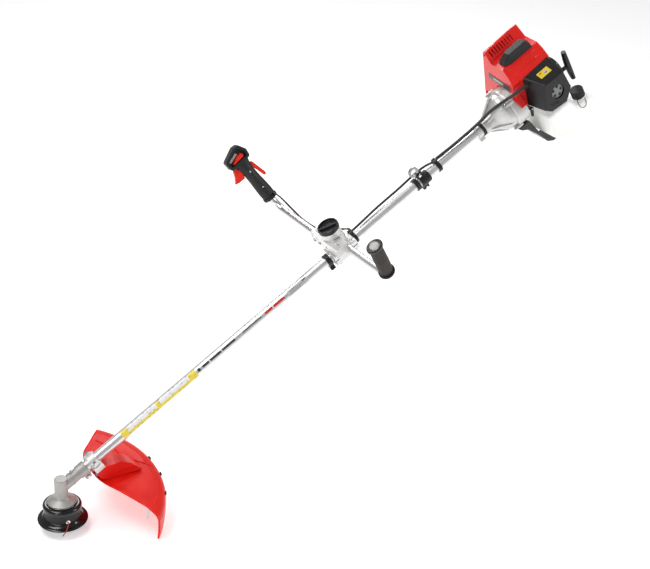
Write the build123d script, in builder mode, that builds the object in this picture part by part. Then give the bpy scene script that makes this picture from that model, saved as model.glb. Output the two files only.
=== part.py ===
from build123d import *
import math
import os

# Petrol brush mower with a bull-horn handle and a trimmer head, in millimetres.
# World frame: +Z is the cutting head's spindle axis, the origin is the middle of
# the bump knob's bottom face, and the shaft rises towards +X.
# Shaft frame, from the bevel gears' apex: distance along the shaft, y sideways,
# and height square to the shaft. Front is the head's end and rear the engine's;
# +y is the right hand of a user who stands behind and looks at the head.

os.makedirs("parts", exist_ok=True)

# ---------------------------------------------------------- driving dimensions
shaft_rise = 30.0          # angle of the shaft above the ground, degrees
apex_z = 112.7             # world height of the bevel gears' apex
fit = 0.03                 # radial clearance of a close bore
bearing_play = 0.05        # radial clearance inside a bearing

tube_r, tube_bore_r = 14.0, 12.5
tube_start, tube_end = 54.0, 1478.0
tube_hole_r = tube_r + fit  # bore of whatever is clamped on the tube
drive_r = 4.0              # drive shaft
spindle_r = 5.0
bearing_r = 12.9           # outside of the four gearbox bearings

column_at = 961.0          # the handle column's distance along the shaft
bar_r, bar_wall = 11.0, 1.6
bar_height = 43.0
bar_hole_r = bar_r + fit

bore_r, stroke, rod_length = 22.0, 35.0, 62.0
crank_mid = 1649.0         # the cylinder axis's distance along the shaft
crank_r = 7.5
pull_y, pull_height = -20.0, -10.0      # starter rope line

# --------------------------------------------------------------- shaft frame
rise = math.radians(shaft_rise)
shaft_dir = Vector(math.cos(rise), 0, math.sin(rise))
lift_dir = Vector(-math.sin(rise), 0, math.cos(rise))
right_dir = Vector(0, 1, 0)
apex = Vector(0, 0, apex_z)
shaft_axis = Axis(apex, shaft_dir)
lift_axis = Axis(apex, lift_dir)
right_axis = Axis(apex, right_dir)


def place(along, y, height):
    """World position of a point given in the shaft frame."""
    return apex + shaft_dir * along + right_dir * y + lift_dir * height


def across(along, y=0, height=0):
    """Sketch x is y, sketch y is height; extrudes to the rear along the shaft."""
    return Plane(origin=place(along, y, height), x_dir=right_dir, z_dir=shaft_dir)


def side(y, along=0, height=0):
    """Sketch x is along the shaft, sketch y is height; extrudes towards -y."""
    return Plane(origin=place(along, y, height), x_dir=shaft_dir, z_dir=Vector(0, -1, 0))


def deck(height, along=0, y=0):
    """Sketch x is along the shaft, sketch y is y; extrudes upwards."""
    return Plane(origin=place(along, y, height), x_dir=shaft_dir, z_dir=lift_dir)


def height_of(edge):
    """Height of an edge's centre in the shaft frame."""
    return (edge.center() - apex).dot(lift_dir)


def polar_point(radius, angle):
    """Sketch point at a radius and an angle in degrees."""
    return (radius * math.cos(math.radians(angle)), radius * math.sin(math.radians(angle)))


def spindle_radial(angle):
    """Unit vector square to the spindle axis, angle in degrees from +X."""
    return Vector(*polar_point(1, angle), 0)


def shaft_radial(angle):
    """Unit vector square to the shaft, angle in degrees from +y towards up."""
    y, height = polar_point(1, angle)
    return right_dir * y + lift_dir * height


world_half = Plane.XZ      # half-plane of turned pieces: x is radius, y is world z
shaft_half = side(0)       # half-plane of turned pieces: x is along, y is radius


# ------------------------------------------------------------ piece builders
def save(piece, name):
    """Label a finished piece and write its STEP file."""
    piece.part.label = name
    export_step(piece.part, f"parts/{name}.step")


def save_turned(name, *outlines, plane=world_half, axis=Axis.Z):
    """A piece made only of closed outlines turned about one axis."""
    with BuildPart() as piece:
        for outline in outlines:
            with BuildSketch(plane):
                with BuildLine():
                    Polyline(*outline, close=True)
                make_face()
            revolve(axis=axis)
    save(piece, name)


def save_rings(name, *rings):
    """Round lengths on the shaft: (start, radius, hole radius or 0, length)."""
    with BuildPart() as piece:
        for start, radius, hole_r, length in rings:
            with BuildSketch(across(start)):
                Circle(radius)
                if hole_r:
                    Circle(hole_r, mode=Mode.SUBTRACT)
            extrude(amount=length)
    save(piece, name)


# =============================================================== cutting head
waist_r, waist_inner_r = 47.0, 44.4
rim_r = waist_r + 0.05     # inside of the rings set on the waist
brim_r = 65.0
eyelet_z = 36.0
eyelet_angles = (263.0, 263.0 + 180)

# bump knob, with twelve round holes in its underside
with BuildPart() as bump_knob:
    with BuildSketch(world_half):
        with BuildLine():
            Polyline((0, 0), (15, 0), (24, 3), (29.5, 9), (30, 20), (27, 24), (11.8, 25),
                     (10.7, 25.8), (10.7, 43), (8, 43), (8, 12), (0, 12), close=True)
        make_face()
    revolve(axis=Axis.Z)
    with PolarLocations(25, 12, start_angle=15):
        Cylinder(1.6, 40, mode=Mode.SUBTRACT)
save(bump_knob, "bump_knob")


def winding(low, high):
    """Outline of the line wound between two spool flanges."""
    return [(18.2, low), (36, low), (38, (low + high) / 2), (36, high), (18.2, high)]


spool_outline = [  # radius, z
    (11.2, 25.6), (42, 25.6), (42, 27.6), (18, 27.6), (18, 35), (42, 35), (42, 37),
    (18, 37), (18, 44), (42, 44), (42, 46), (11.2, 46)]
save_turned("line_spool", spool_outline, winding(27.8, 34.8), winding(37.2, 43.8))

with BuildPart() as bump_spring:
    with BuildLine():
        spring_path = Helix(pitch=6.2, height=37.2, radius=6.2, center=(0, 0, 13.0))
    with BuildSketch(Plane(origin=spring_path @ 0, z_dir=spring_path % 0)):
        Circle(0.7)
    sweep(is_frenet=True)
save(bump_spring, "bump_spring")


def eyelet_plane(angle, radius):
    """Plane that faces outwards at an eyelet, at a radius from the spindle."""
    outward = spindle_radial(angle)
    return Plane(origin=Vector(0, 0, eyelet_z) + outward * radius,
                 x_dir=(0, 0, 1), z_dir=outward)


brim_outline = [  # radius, z
    (rim_r, 30.5), (49.5, 29.5), (52, 26.5), (57, 23.6), (63, 22.2), (brim_r, 20.6),
    (brim_r, 18), (62.5, 17.4), (55, 19.6), (49, 21.5), (rim_r, 22.5)]
crown_outline = [
    (rim_r, 51.5), (49.6, 52.5), (50.5, 55), (50.5, 61), (49, 65), (46, 67.4), (41, 68.2),
    (38.8, 67.4), (38.5, 65), (36, 63.5), (14, 63.5), (14, 57.05), (rim_r, 57.05)]
# waisted cup with its line holes, then the brim and the crown round it
with BuildPart() as head_shells:
    with BuildSketch(world_half):
        with BuildLine():
            Polyline((waist_inner_r, 24), (waist_r, 24), (waist_r, 57), (spindle_r + 0.1, 57),
                     (spindle_r + 0.1, 51), (9, 51), (9, 54), (waist_inner_r, 54), close=True)
        make_face()
    revolve(axis=Axis.Z)
    for angle in eyelet_angles:
        with BuildSketch(eyelet_plane(angle, 0)):
            Circle(4.1)
        extrude(amount=60, mode=Mode.SUBTRACT)
    for outline in (brim_outline, crown_outline):
        with BuildSketch(world_half):
            with BuildLine():
                Polyline(*outline, close=True)
            make_face()
        revolve(axis=Axis.Z)
save(head_shells, "head_shells")

with BuildPart() as line_eyelets:
    for angle in eyelet_angles:
        # barrel through the wall, then the flange: start radius, outside radius, length
        for start, outer_r, length in ((43.6, 4.0, 5.4), (rim_r, 5.5, 1.9)):
            with BuildSketch(eyelet_plane(angle, start)):
                Circle(outer_r)
                Circle(2.0, mode=Mode.SUBTRACT)
            extrude(amount=length)
save(line_eyelets, "line_eyelets")

# the two free ends of cutting line, which droop and curl backwards
with BuildPart() as line_ends:
    for angle in eyelet_angles:
        outward = spindle_radial(angle)
        sideways = spindle_radial(angle + 90)
        line_start = Vector(0, 0, eyelet_z) + outward * 42.6
        with BuildLine():
            line_path = Spline(
                line_start,
                line_start + outward * 7.5,
                line_start + outward * 22 - sideways * 8 + Vector(0, 0, -8),
                line_start + outward * 34 - sideways * 24 + Vector(0, 0, -18),
                tangents=(outward, -sideways + outward * 0.6 + Vector(0, 0, -0.6)))
        with BuildSketch(Plane(origin=line_path @ 0, z_dir=line_path % 0)):
            Circle(1.25)
        sweep()
save(line_ends, "line_ends")

flange_bore_r = spindle_r + bearing_play
save_turned("drive_flange", [
    (flange_bore_r, 64), (13.6, 64), (13.6, 67.5), (33, 68.3), (38, 68.6), (38, 70.8),
    (34, 71.6), (12, 71.6), (10, 74), (10, 84), (flange_bore_r, 84)])

# ============================================================== bevel gearbox
gear_teeth, pinion_teeth = 19, 14
cone_distance, face_width = 18.0, 5.0
inner_distance = cone_distance - face_width
mesh_play = 0.06           # taken off the cone radii
tooth_gap = 1.5
gap_start, gap_length = inner_distance - 1, face_width + 2
# the pitch cones' half angles, for the angle between spindle and shaft
shaft_angle = math.radians(90 - shaft_rise)
gear_cone = math.atan2(math.sin(shaft_angle), pinion_teeth / gear_teeth + math.cos(shaft_angle))
pinion_cone = shaft_angle - gear_cone


def cone_profile(cone, hub_r, hole_r):
    """Bevel gear blank as (radius, distance from the apex along its axis)."""
    inner_z, outer_z = inner_distance * math.cos(cone), cone_distance * math.cos(cone)
    inner_r = inner_distance * math.sin(cone) - mesh_play
    outer_r = cone_distance * math.sin(cone) - mesh_play
    rim_z, back_z = outer_z + 2.4, outer_z + 5.0
    return [(hole_r, inner_z), (inner_r, inner_z), (outer_r, outer_z), (outer_r - 1.6, rim_z),
            (hub_r, rim_z), (hub_r, back_z), (hole_r, back_z)]


save_turned("output_spindle", [
    (0, 52), (spindle_r, 52), (spindle_r, apex_z + 19.5), (4.2, apex_z + 20.5),
    (0, apex_z + 20.5)])

with BuildPart() as bevel_gear:
    with BuildSketch(Plane(origin=apex, x_dir=(1, 0, 0), z_dir=(0, -1, 0))):
        with BuildLine():
            Polyline(*cone_profile(gear_cone, hub_r=8.0, hole_r=spindle_r + fit), close=True)
        make_face()
    revolve(axis=Axis((0, 0, apex_z), (0, 0, 1)))
    for k in range(gear_teeth):
        angle = 360 * (k + 0.5) / gear_teeth
        cone_line = (spindle_radial(angle) * math.sin(gear_cone)
                     + Vector(0, 0, 1) * math.cos(gear_cone))
        with BuildSketch(Plane(origin=apex + cone_line * gap_start,
                               x_dir=spindle_radial(angle + 90), z_dir=cone_line)):
            Rectangle(tooth_gap, 2.6)
        extrude(amount=gap_length, mode=Mode.SUBTRACT)
save(bevel_gear, "bevel_gear")

pinion_blank = cone_profile(pinion_cone, hub_r=6.5, hole_r=drive_r + fit)
with BuildPart() as bevel_pinion:
    with BuildSketch(shaft_half):
        with BuildLine():
            Polyline(*[(along, radius) for radius, along in pinion_blank], close=True)
        make_face()
    revolve(axis=shaft_axis)
    for k in range(pinion_teeth):
        angle = 360 * (k + 0.5) / pinion_teeth
        cone_line = (shaft_radial(angle) * math.sin(pinion_cone)
                     + shaft_dir * math.cos(pinion_cone))
        with BuildSketch(Plane(origin=apex + cone_line * gap_start,
                               x_dir=shaft_radial(angle + 90), z_dir=cone_line)):
            Rectangle(tooth_gap, 2.4)
        extrude(amount=gap_length, mode=Mode.SUBTRACT)
save(bevel_pinion, "bevel_pinion")

crank_bearings = (1611, 1676)
crank_bearing_r, crank_bearing_width = 17, 11
drum_bearing = (1499.05, 1508.9, crank_r + bearing_play, 16.05)
# bearings on the spindle, the drive shaft, the clutch drum's neck and the crankshaft
with BuildPart() as ball_bearings:
    for low, high in ((86.5, 94.5), (98.0, 105.0)):
        inner_r = spindle_r + bearing_play
        with BuildSketch(world_half):
            with BuildLine():
                Polyline((inner_r, low), (bearing_r, low), (bearing_r, high), (inner_r, high),
                         close=True)
            make_face()
        revolve(axis=Axis.Z)
    for front, rear, inner_r, outer_r in ((24.0, 31.0, drive_r + bearing_play, bearing_r),
                                          (40.0, 47.0, drive_r + bearing_play, bearing_r),
                                          drum_bearing):
        with BuildSketch(shaft_half):
            with BuildLine():
                Polyline((front, inner_r), (rear, inner_r), (rear, outer_r), (front, outer_r),
                         close=True)
            make_face()
        revolve(axis=shaft_axis)
    for front in crank_bearings:
        with BuildSketch(across(front)):
            Circle(crank_bearing_r)
            Circle(crank_r + bearing_play, mode=Mode.SUBTRACT)
        extrude(amount=crank_bearing_width)
save(ball_bearings, "ball_bearings")

case_clamp = (71, -24)     # pinch bolt under the tube: along, height
case_screw_at = 44         # screw on top of the case: along
with BuildPart() as gear_case:
    with BuildSketch(world_half):
        with BuildLine():
            Polyline((0, 80), (17, 80), (36.6, 72.2), (37.6, 72.4), (37.6, 74.2), (30, 79),
                     (22.5, 83), (18.6, 87), (17.5, 92), (17.5, 138.5), (16.4, 140),
                     (0, 141.2), close=True)
        make_face()
    revolve(axis=Axis.Z)
    # neck, tube socket and a raised band: start, radius, length
    for start, radius, length in ((6, 16.2, 50), (56, 18.6, 27), (30, 17.4, 7)):
        with BuildSketch(across(start)):
            Circle(radius)
        extrude(amount=length)
    # lug for the pinch bolt
    with BuildSketch(side(9)):
        with BuildLine():
            Polyline((62, -14), (62, -26), (66, -31), (76, -31), (80, -26), (83, -14),
                     close=True)
        make_face()
    extrude(amount=18)
    with BuildSketch(deck(14, case_screw_at)):
        Circle(4.5)
    extrude(amount=5)
    # bores for the spindle, the drive shaft and the tube: plane, radius, depth
    for plane, radius, depth in ((Plane.XY.offset(60), 13.0, apex_z + 23.4 - 60),
                                 (across(4), 13.0, 49.9),
                                 (across(53.9), tube_hole_r, 40)):
        with BuildSketch(plane):
            Circle(radius)
        extrude(amount=depth, mode=Mode.SUBTRACT)
    # clamp slit and bolt hole
    with BuildSketch(side(1.2)):
        with BuildLine():
            Polyline((58, -10), (58, -40), (90, -40), (90, -10), close=True)
        make_face()
    extrude(amount=2.4, mode=Mode.SUBTRACT)
    with BuildSketch(side(30, *case_clamp)):
        Circle(2.6)
    extrude(amount=60, mode=Mode.SUBTRACT)
save(gear_case, "gear_case")

guard_bolt_at, guard_bolt_ys = 104, (-26, 26)
neck_screw_ys, neck_screw_height = (-12, 12), -36
# four-point joint between clutch housing and crankcase
joint_bolt_r, joint_lug_r = 59.6, 58.5
joint_angle = 45
with BuildPart() as head_and_housing_bolts:
    # gear case pinch bolt with a hexagon at both ends
    with BuildSketch(side(12.5, *case_clamp)):
        Circle(2.5)
    extrude(amount=23)
    for y in (13.1, -9.05):
        with BuildSketch(side(y, *case_clamp)):
            RegularPolygon(4.4, 6)
        extrude(amount=4.0)
    with BuildSketch(deck(19.05, case_screw_at)):
        RegularPolygon(3.6, 6)
    extrude(amount=3)
    # guard clamp: shank, socket head and nut
    for y in guard_bolt_ys:
        with BuildSketch(deck(-13, guard_bolt_at, y)):
            Circle(2.6)
        extrude(amount=22.5)
        with BuildSketch(deck(8.05, guard_bolt_at, y)):
            Circle(4.6)
        extrude(amount=4.6)
        with BuildSketch(deck(12.7, guard_bolt_at, y)):
            RegularPolygon(2.6, 6)
        extrude(amount=-2.6, mode=Mode.SUBTRACT)
        with BuildSketch(deck(-13.5, guard_bolt_at, y)):
            RegularPolygon(4.4, 6)
        extrude(amount=3.9)
    # guard neck: hexagon head in front, shank to the rear
    for y in neck_screw_ys:
        with BuildSketch(across(90.9, y, neck_screw_height)):
            RegularPolygon(4.4, 6)
        extrude(amount=-3.6)
        with BuildSketch(across(90.9, y, neck_screw_height)):
            Circle(2.5)
        extrude(amount=18)
    # clutch housing: round head, its socket, shank
    for k in range(4):
        bolt_spot = polar_point(joint_bolt_r, joint_angle + 90 * k)
        with BuildSketch(across(1552.95, *bolt_spot)):
            Circle(4.4)
        extrude(amount=-5)
        with BuildSketch(across(1547.95, *bolt_spot)):
            RegularPolygon(2.5, 6)
        extrude(amount=2.6, mode=Mode.SUBTRACT)
        with BuildSketch(across(1552.9, *bolt_spot)):
            Circle(2.6)
        extrude(amount=15)
save(head_and_housing_bolts, "head_and_housing_bolts")

# ================================================================= drive line
save_rings("shaft_tube", (tube_start, tube_r, tube_bore_r, tube_end - tube_start))
save_rings("shaft_bushes", *[(start, tube_bore_r - fit, drive_r + 0.06, 28)
                             for start in (180, 440, 700, 960, 1220, 1430)])
save_rings("drive_shaft", (13, drive_r, 0, 1519))

drum_bore_r = drive_r + fit
save_turned("clutch_drum", [
    (1490, drum_bore_r), (1490, crank_r), (1530, crank_r), (1531, 39), (1557, 39),
    (1557, 36.4), (1534.5, 36.4), (1534.5, drum_bore_r)], plane=shaft_half, axis=shaft_axis)

# ====================================================================== guard
with BuildPart() as guard_clamp:
    # upper half: saddle with two ears
    with BuildSketch(across(93)):
        Circle(19)
        with Locations((0, 4.25)):
            Rectangle(60, 7.5)
        Circle(tube_hole_r, mode=Mode.SUBTRACT)
        with Locations((0, -19.75)):
            Rectangle(80, 40.5, mode=Mode.SUBTRACT)
    extrude(amount=22)
    for y in guard_bolt_ys:
        with BuildSketch(deck(-2, guard_bolt_at, y)):
            Circle(2.7)
        extrude(amount=30, mode=Mode.SUBTRACT)
    ear_corners = guard_clamp.edges().filter_by(lift_axis)
    fillet(ear_corners.filter_by(lambda edge: abs(edge.center().Y) > 28), radius=7)
    # lower half: ears and a block under the tube
    with BuildSketch(across(91)):
        Circle(19)
        with Locations((0, -5)):
            Rectangle(66, 9)
        with Locations((0, -20)):
            Rectangle(44, 14)
        Circle(tube_hole_r, mode=Mode.SUBTRACT)
        with Locations((0, 19.5)):
            Rectangle(80, 40, mode=Mode.SUBTRACT)
    extrude(amount=28)
    for y in guard_bolt_ys:
        with BuildSketch(deck(-40, guard_bolt_at, y)):
            Circle(2.7)
        extrude(amount=60, mode=Mode.SUBTRACT)
save(guard_clamp, "guard_clamp")

# guard frame: guard_z is the spindle direction rolled about the shaft,
# guard_x points to the rear and guard_y to the right
guard_roll = math.radians(10.0)
guard_z = (shaft_dir * math.sin(rise)
           + (lift_dir * math.cos(guard_roll) - right_dir * math.sin(guard_roll))
           * math.cos(rise))
guard_x = (shaft_dir - guard_z * shaft_dir.dot(guard_z)).normalized()
guard_y = guard_z.cross(guard_x)
guard_axis = Axis(apex, guard_z)


def guard_ray(angle):
    """Half-plane from the guard axis at a plan angle: x is radius, y is height."""
    x, y = polar_point(1, angle)
    outward = guard_x * x + guard_y * y
    return Plane(origin=apex, x_dir=outward, z_dir=outward.cross(guard_z))


# wall section as (radius, height): over the roof, down the skirt and back inside
guard_section = [
    (80, 2), (150, 2), (222, -3), (252, -8), (264, -15), (268.5, -24), (270, -60),
    (268, -91), (264.6, -91), (266.6, -60), (265.2, -26), (261.4, -18.4), (250.6, -12),
    (221.4, -6.6), (150, -1.6), (80, -1.6)]
# plan outline of the fan as (radius, plan angle)
guard_fan = [
    (98, -8), (119, -26), (171, -39.6), (228, -47), (254, -50.3), (300, -50.8), (330, -20),
    (330, 20), (300, 39.5), (262, 39.5), (146, 38), (112, 28), (98, 8)]
with BuildPart() as guard_shell:
    with BuildSketch(guard_ray(-62)):
        with BuildLine():
            Polyline(*guard_section, close=True)
        make_face()
    revolve(axis=guard_axis, revolution_arc=112)
    # keep only what lies inside the plan outline
    with BuildSketch(Plane(origin=apex - guard_z * 120, x_dir=guard_x, z_dir=guard_z)):
        with BuildLine():
            Polyline(*[polar_point(radius, angle) for radius, angle in guard_fan], close=True)
        make_face()
    extrude(amount=170, mode=Mode.INTERSECT)
    # the skirt's lower edge rises towards the right
    with BuildSketch(Plane(origin=apex, x_dir=guard_y, z_dir=guard_x)):
        with BuildLine():
            Polyline((-150, -92), (60, -88), (190, -70), (190, -140), (-150, -140), close=True)
        make_face()
    extrude(amount=300, mode=Mode.SUBTRACT)
    # mounting neck up to the clamp, trimmed flush with the roof's underside
    with BuildSketch(side(24)):
        with BuildLine():
            Polyline((91, -27.1), (124, -27.1), (158, -44), (176, -72), (188, -112),
                     (131, -78), (98, -58), (91, -45), close=True)
        make_face()
    extrude(amount=48)
    with BuildSketch(guard_ray(-30)):
        with BuildLine():
            Polyline((70, -1.6), (150, -1.6), (221.4, -6.6), (250.6, -12), (250.6, -70),
                     (70, -70), close=True)
        make_face()
    revolve(axis=guard_axis, revolution_arc=60, mode=Mode.SUBTRACT)
    # screw holes in the neck's front
    with BuildSketch(across(80)):
        with Locations(*[(y, neck_screw_height) for y in neck_screw_ys]):
            Circle(2.6)
    extrude(amount=30, mode=Mode.SUBTRACT)
save(guard_shell, "guard_shell")

blade_outline = [(232, -78), (262, -78), (262, -92), (236, -122), (230, -120), (238, -92),
                 (226, -88)]
blade_foot = [(256, -70), (264.0, -70), (264.0, -90), (256, -90)]
with BuildPart() as line_cutter:
    for outline, thickness in ((blade_outline, 1.6), (blade_foot, 7)):
        with BuildSketch(guard_ray(-37)):
            with BuildLine():
                Polyline(*outline, close=True)
            make_face()
        extrude(amount=thickness)
save(line_cutter, "line_cutter")

# ============================================================== shaft collars
# collar start, radius, length; then the pinch lug's middle, height and lean in degrees
collars = (
    (906, 18.4, 14, (-9, -20), 15, -25),
    (1456, 17.5, 17, (-8, -19), 14, -20),
)
with BuildPart() as tube_collars:
    for start, radius, length, lug_spot, lug_height, lug_lean in collars:
        with BuildSketch(across(start)):
            Circle(radius)
            with Locations(lug_spot):
                Rectangle(9, lug_height, rotation=lug_lean)
            Circle(tube_hole_r, mode=Mode.SUBTRACT)
            with Locations(lug_spot):
                Rectangle(1.6, 20, rotation=lug_lean, mode=Mode.SUBTRACT)
        extrude(amount=length)
save(tube_collars, "tube_collars")

base_start, base_length = 924, 78
base_bolts = [(along, y) for along in (936, 990) for y in (22.5, -22.5)]
with BuildPart() as handle_base:
    # upper half, with the round seat of the handle column
    with BuildSketch(across(base_start)):
        Circle(20)
        with Locations((0, 8.5)):
            Rectangle(58, 16)
        with Locations((0, -20.5)):
            Rectangle(90, 42, mode=Mode.SUBTRACT)
        Circle(tube_hole_r, mode=Mode.SUBTRACT)
    extrude(amount=base_length)
    long_edges = handle_base.edges().filter_by(shaft_axis)
    fillet(long_edges.filter_by(lambda edge: abs(edge.center().Y) > 27), radius=4)
    with BuildSketch(deck(16, column_at)):
        Circle(27.5)
    extrude(amount=11)
    with BuildSketch(deck(-5)):
        with Locations(*base_bolts):
            Circle(3.2)
    extrude(amount=60, mode=Mode.SUBTRACT)
    with BuildSketch(deck(15, column_at)):
        Circle(5.0)
    extrude(amount=30, mode=Mode.SUBTRACT)
    # lower half
    with BuildSketch(across(base_start)):
        Circle(20)
        with Locations((0, -8.5)):
            Rectangle(58, 16)
        with Locations((0, 20.5)):
            Rectangle(90, 42, mode=Mode.SUBTRACT)
        Circle(tube_hole_r, mode=Mode.SUBTRACT)
    extrude(amount=base_length)
    long_edges = handle_base.edges().filter_by(shaft_axis)
    fillet(long_edges.filter_by(
        lambda edge: abs(edge.center().Y) > 27 and height_of(edge) < -10), radius=5)
    with BuildSketch(deck(-30)):
        with Locations(*base_bolts):
            Circle(3.2)
    extrude(amount=40, mode=Mode.SUBTRACT)
save(handle_base, "handle_base")

hinge_spot = (1252, 22.6)  # hanger ring's pin: along, height
pinch_spot = (1256, -22.5)  # hanger clamp's pinch bolt: along, height
with BuildPart() as clamp_bolts:
    # handle base: shank, round head on top, nut below
    for along, y in base_bolts:
        with BuildSketch(deck(-20, along, y)):
            Circle(3.0)
        extrude(amount=36)
        with BuildSketch(deck(16.55, along, y)):
            Circle(4.8)
        extrude(amount=5.0)
        with BuildSketch(deck(-21.2, along, y)):
            RegularPolygon(5.2, 6)
        extrude(amount=4.6)
    # hanger ring's pin and its two heads: start y, radius, length
    for y, radius, length in ((8.5, 2.0, 17), (10.6, 3.8, 3.2), (-7.4, 3.8, 3.2)):
        with BuildSketch(side(y, *hinge_spot)):
            Circle(radius)
        extrude(amount=length)
    with BuildSketch(side(2.0, *pinch_spot)):
        Circle(2.0)
    extrude(amount=12)
    for y in (4.0, -9.0):
        with BuildSketch(side(y, *pinch_spot)):
            RegularPolygon(3.8, 6)
        extrude(amount=3)
save(clamp_bolts, "clamp_bolts")

# ================================================================== handlebar
lean_along, lean_y, lean_height = -11.0, 49.0, 144.0   # direction of the grips
right_grip_dir = (shaft_dir * lean_along + right_dir * lean_y
                  + lift_dir * lean_height).normalized()
left_grip_dir = (shaft_dir * lean_along - right_dir * lean_y
                 + lift_dir * lean_height).normalized()
right_bar_at, left_bar_at, bar_reach = 941, 960, 262
right_corner = place(right_bar_at, bar_reach, bar_height)
left_corner = place(left_bar_at, -bar_reach, bar_height)
# square to the grips: rearwards, and outwards from the right grip
right_aft = (shaft_dir - right_grip_dir * shaft_dir.dot(right_grip_dir)).normalized()
left_aft = (shaft_dir - left_grip_dir * shaft_dir.dot(left_grip_dir)).normalized()
right_outward = right_grip_dir.cross(right_aft)


def right_section(distance):
    """Section of the right grip at a distance from the bend: x is fore-aft."""
    return Plane(origin=right_corner + right_grip_dir * distance,
                 x_dir=right_aft, z_dir=right_grip_dir)


def left_section(distance):
    """Section of the left grip at a distance from the bend: x is fore-aft."""
    return Plane(origin=left_corner + left_grip_dir * distance,
                 x_dir=left_aft, z_dir=left_grip_dir)


with BuildPart() as handle_tubes:
    for along, facing, corner, grip_dir, grip_length in (
            (right_bar_at, 1, right_corner, right_grip_dir, 118),
            (left_bar_at, -1, left_corner, left_grip_dir, 168)):
        with BuildLine():
            bar_path = FilletPolyline(place(along, 7 * facing, bar_height), corner,
                                      corner + grip_dir * grip_length, radius=45)
        with BuildSketch(Plane(origin=bar_path @ 0, x_dir=shaft_dir, z_dir=right_dir * facing)):
            Circle(bar_r)
            Circle(bar_r - bar_wall, mode=Mode.SUBTRACT)
        sweep()
save(handle_tubes, "handle_tubes")

bar_channels = [
    Plane(origin=place(along, 0, bar_height), x_dir=shaft_dir, z_dir=right_dir * facing)
    for along, facing in ((right_bar_at, 1), (left_bar_at, -1))]
cup_gap = 0.15             # half the gap between the cup's halves
upper_floor = bar_height + cup_gap
lower_floor = 27.1
lower_thickness = bar_height - cup_gap - lower_floor
# upper then lower half: floor, disc thickness and taper, plate thickness and taper,
# depth of the column hole
cup_halves = (
    (upper_floor, 79.8 - upper_floor, 2.0, 16, 12, 90),
    (lower_floor, lower_thickness, 0.0, lower_thickness, 0.0, 60),
)
with BuildPart() as handle_cup:
    for floor, disc_thickness, disc_taper, plate_thickness, plate_taper, hole_depth in cup_halves:
        with BuildSketch(deck(floor, column_at)):
            Circle(28.5)
        extrude(amount=disc_thickness, taper=disc_taper)
        with BuildSketch(deck(floor, 949)):
            Rectangle(44, 140)
        extrude(amount=plate_thickness, taper=plate_taper)
        for channel in bar_channels:
            with BuildSketch(channel):
                Circle(bar_hole_r)
            extrude(amount=90, mode=Mode.SUBTRACT)
        with BuildSketch(deck(20, column_at)):
            Circle(4.15)
        extrude(amount=hole_depth, mode=Mode.SUBTRACT)
    # small holes beside the bars: along, y
    with BuildSketch(deck(20)):
        with Locations((929.2, 37), (929.2, 60), (968.9, 37),
                       (976, -40), (976, -60), (943.5, -60)):
            Circle(1.6)
    extrude(amount=60, mode=Mode.SUBTRACT)
save(handle_cup, "handle_cup")

# round knob on top of the column, dished on both sides of a cross bar, and its stud
with BuildPart() as handle_knob:
    with BuildSketch(deck(80.0, column_at)):
        Circle(30)
    extrude(amount=12)
    fillet(handle_knob.edges().filter_by(GeomType.CIRCLE).sort_by(lift_axis)[-1], radius=2.5)
    with BuildSketch(deck(92.0, column_at)):
        Circle(26)
        Rectangle(8, 60, rotation=62, mode=Mode.SUBTRACT)
    extrude(amount=-7, mode=Mode.SUBTRACT)
    with BuildSketch(deck(79.0, column_at)):
        Circle(3.95)
    extrude(amount=6.0, mode=Mode.SUBTRACT)
    with BuildSketch(deck(16.6, column_at)):
        Circle(3.9)
    extrude(amount=84.9 - 16.6)
save(handle_knob, "handle_knob")

# grip stations: distance from the bend, fore-aft radius, sideways radius
left_stations = ((33, 17.5, 15.5), (90, 18.8, 16.4), (166, 17.2, 15.2))
right_stations = ((33, 18.0, 16.6), (95, 18.5, 16.6), (150, 19.5, 15.6), (170, 25.0, 12.0))
with BuildPart() as left_grip:
    for distance, fore_r, side_r in left_stations:
        with BuildSketch(left_section(distance)):
            Ellipse(fore_r, side_r)
    loft()
    # collars at both ends, then the bar's hole
    with BuildSketch(left_section(33)):
        Ellipse(22, 20)
    extrude(amount=9)
    fillet(left_grip.edges().group_by(Axis(left_corner, left_grip_dir))[0], radius=3)
    with BuildSketch(left_section(159)):
        Ellipse(19.5, 17.0)
    extrude(amount=7)
    with BuildSketch(left_section(30)):
        Circle(bar_hole_r)
    extrude(amount=138.1, mode=Mode.SUBTRACT)
    # end cap with a raised oval in its recess
    with BuildSketch(left_section(168.2)):
        Ellipse(22.5, 17.5)
    extrude(amount=9)
    fillet(left_grip.edges().group_by(Axis(left_corner, left_grip_dir))[-1], radius=3.5)
    with BuildSketch(left_section(177.2)):
        Ellipse(16, 11)
    extrude(amount=-1.6, mode=Mode.SUBTRACT)
    with BuildSketch(left_section(175.6)):
        Ellipse(12, 7.5)
    extrude(amount=1.2)
save(left_grip, "left_grip")

# throttle housing: grip with a thumb loop on top
loop_middle = right_corner + right_grip_dir * 185


def loop_plane(inset):
    """Plane set inwards from the loop's middle: x is aft, y is up the grip.

    It extrudes inwards, towards the handle's middle.
    """
    return Plane(origin=loop_middle - right_outward * inset,
                 x_dir=right_aft, z_dir=right_outward * -1)


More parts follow.
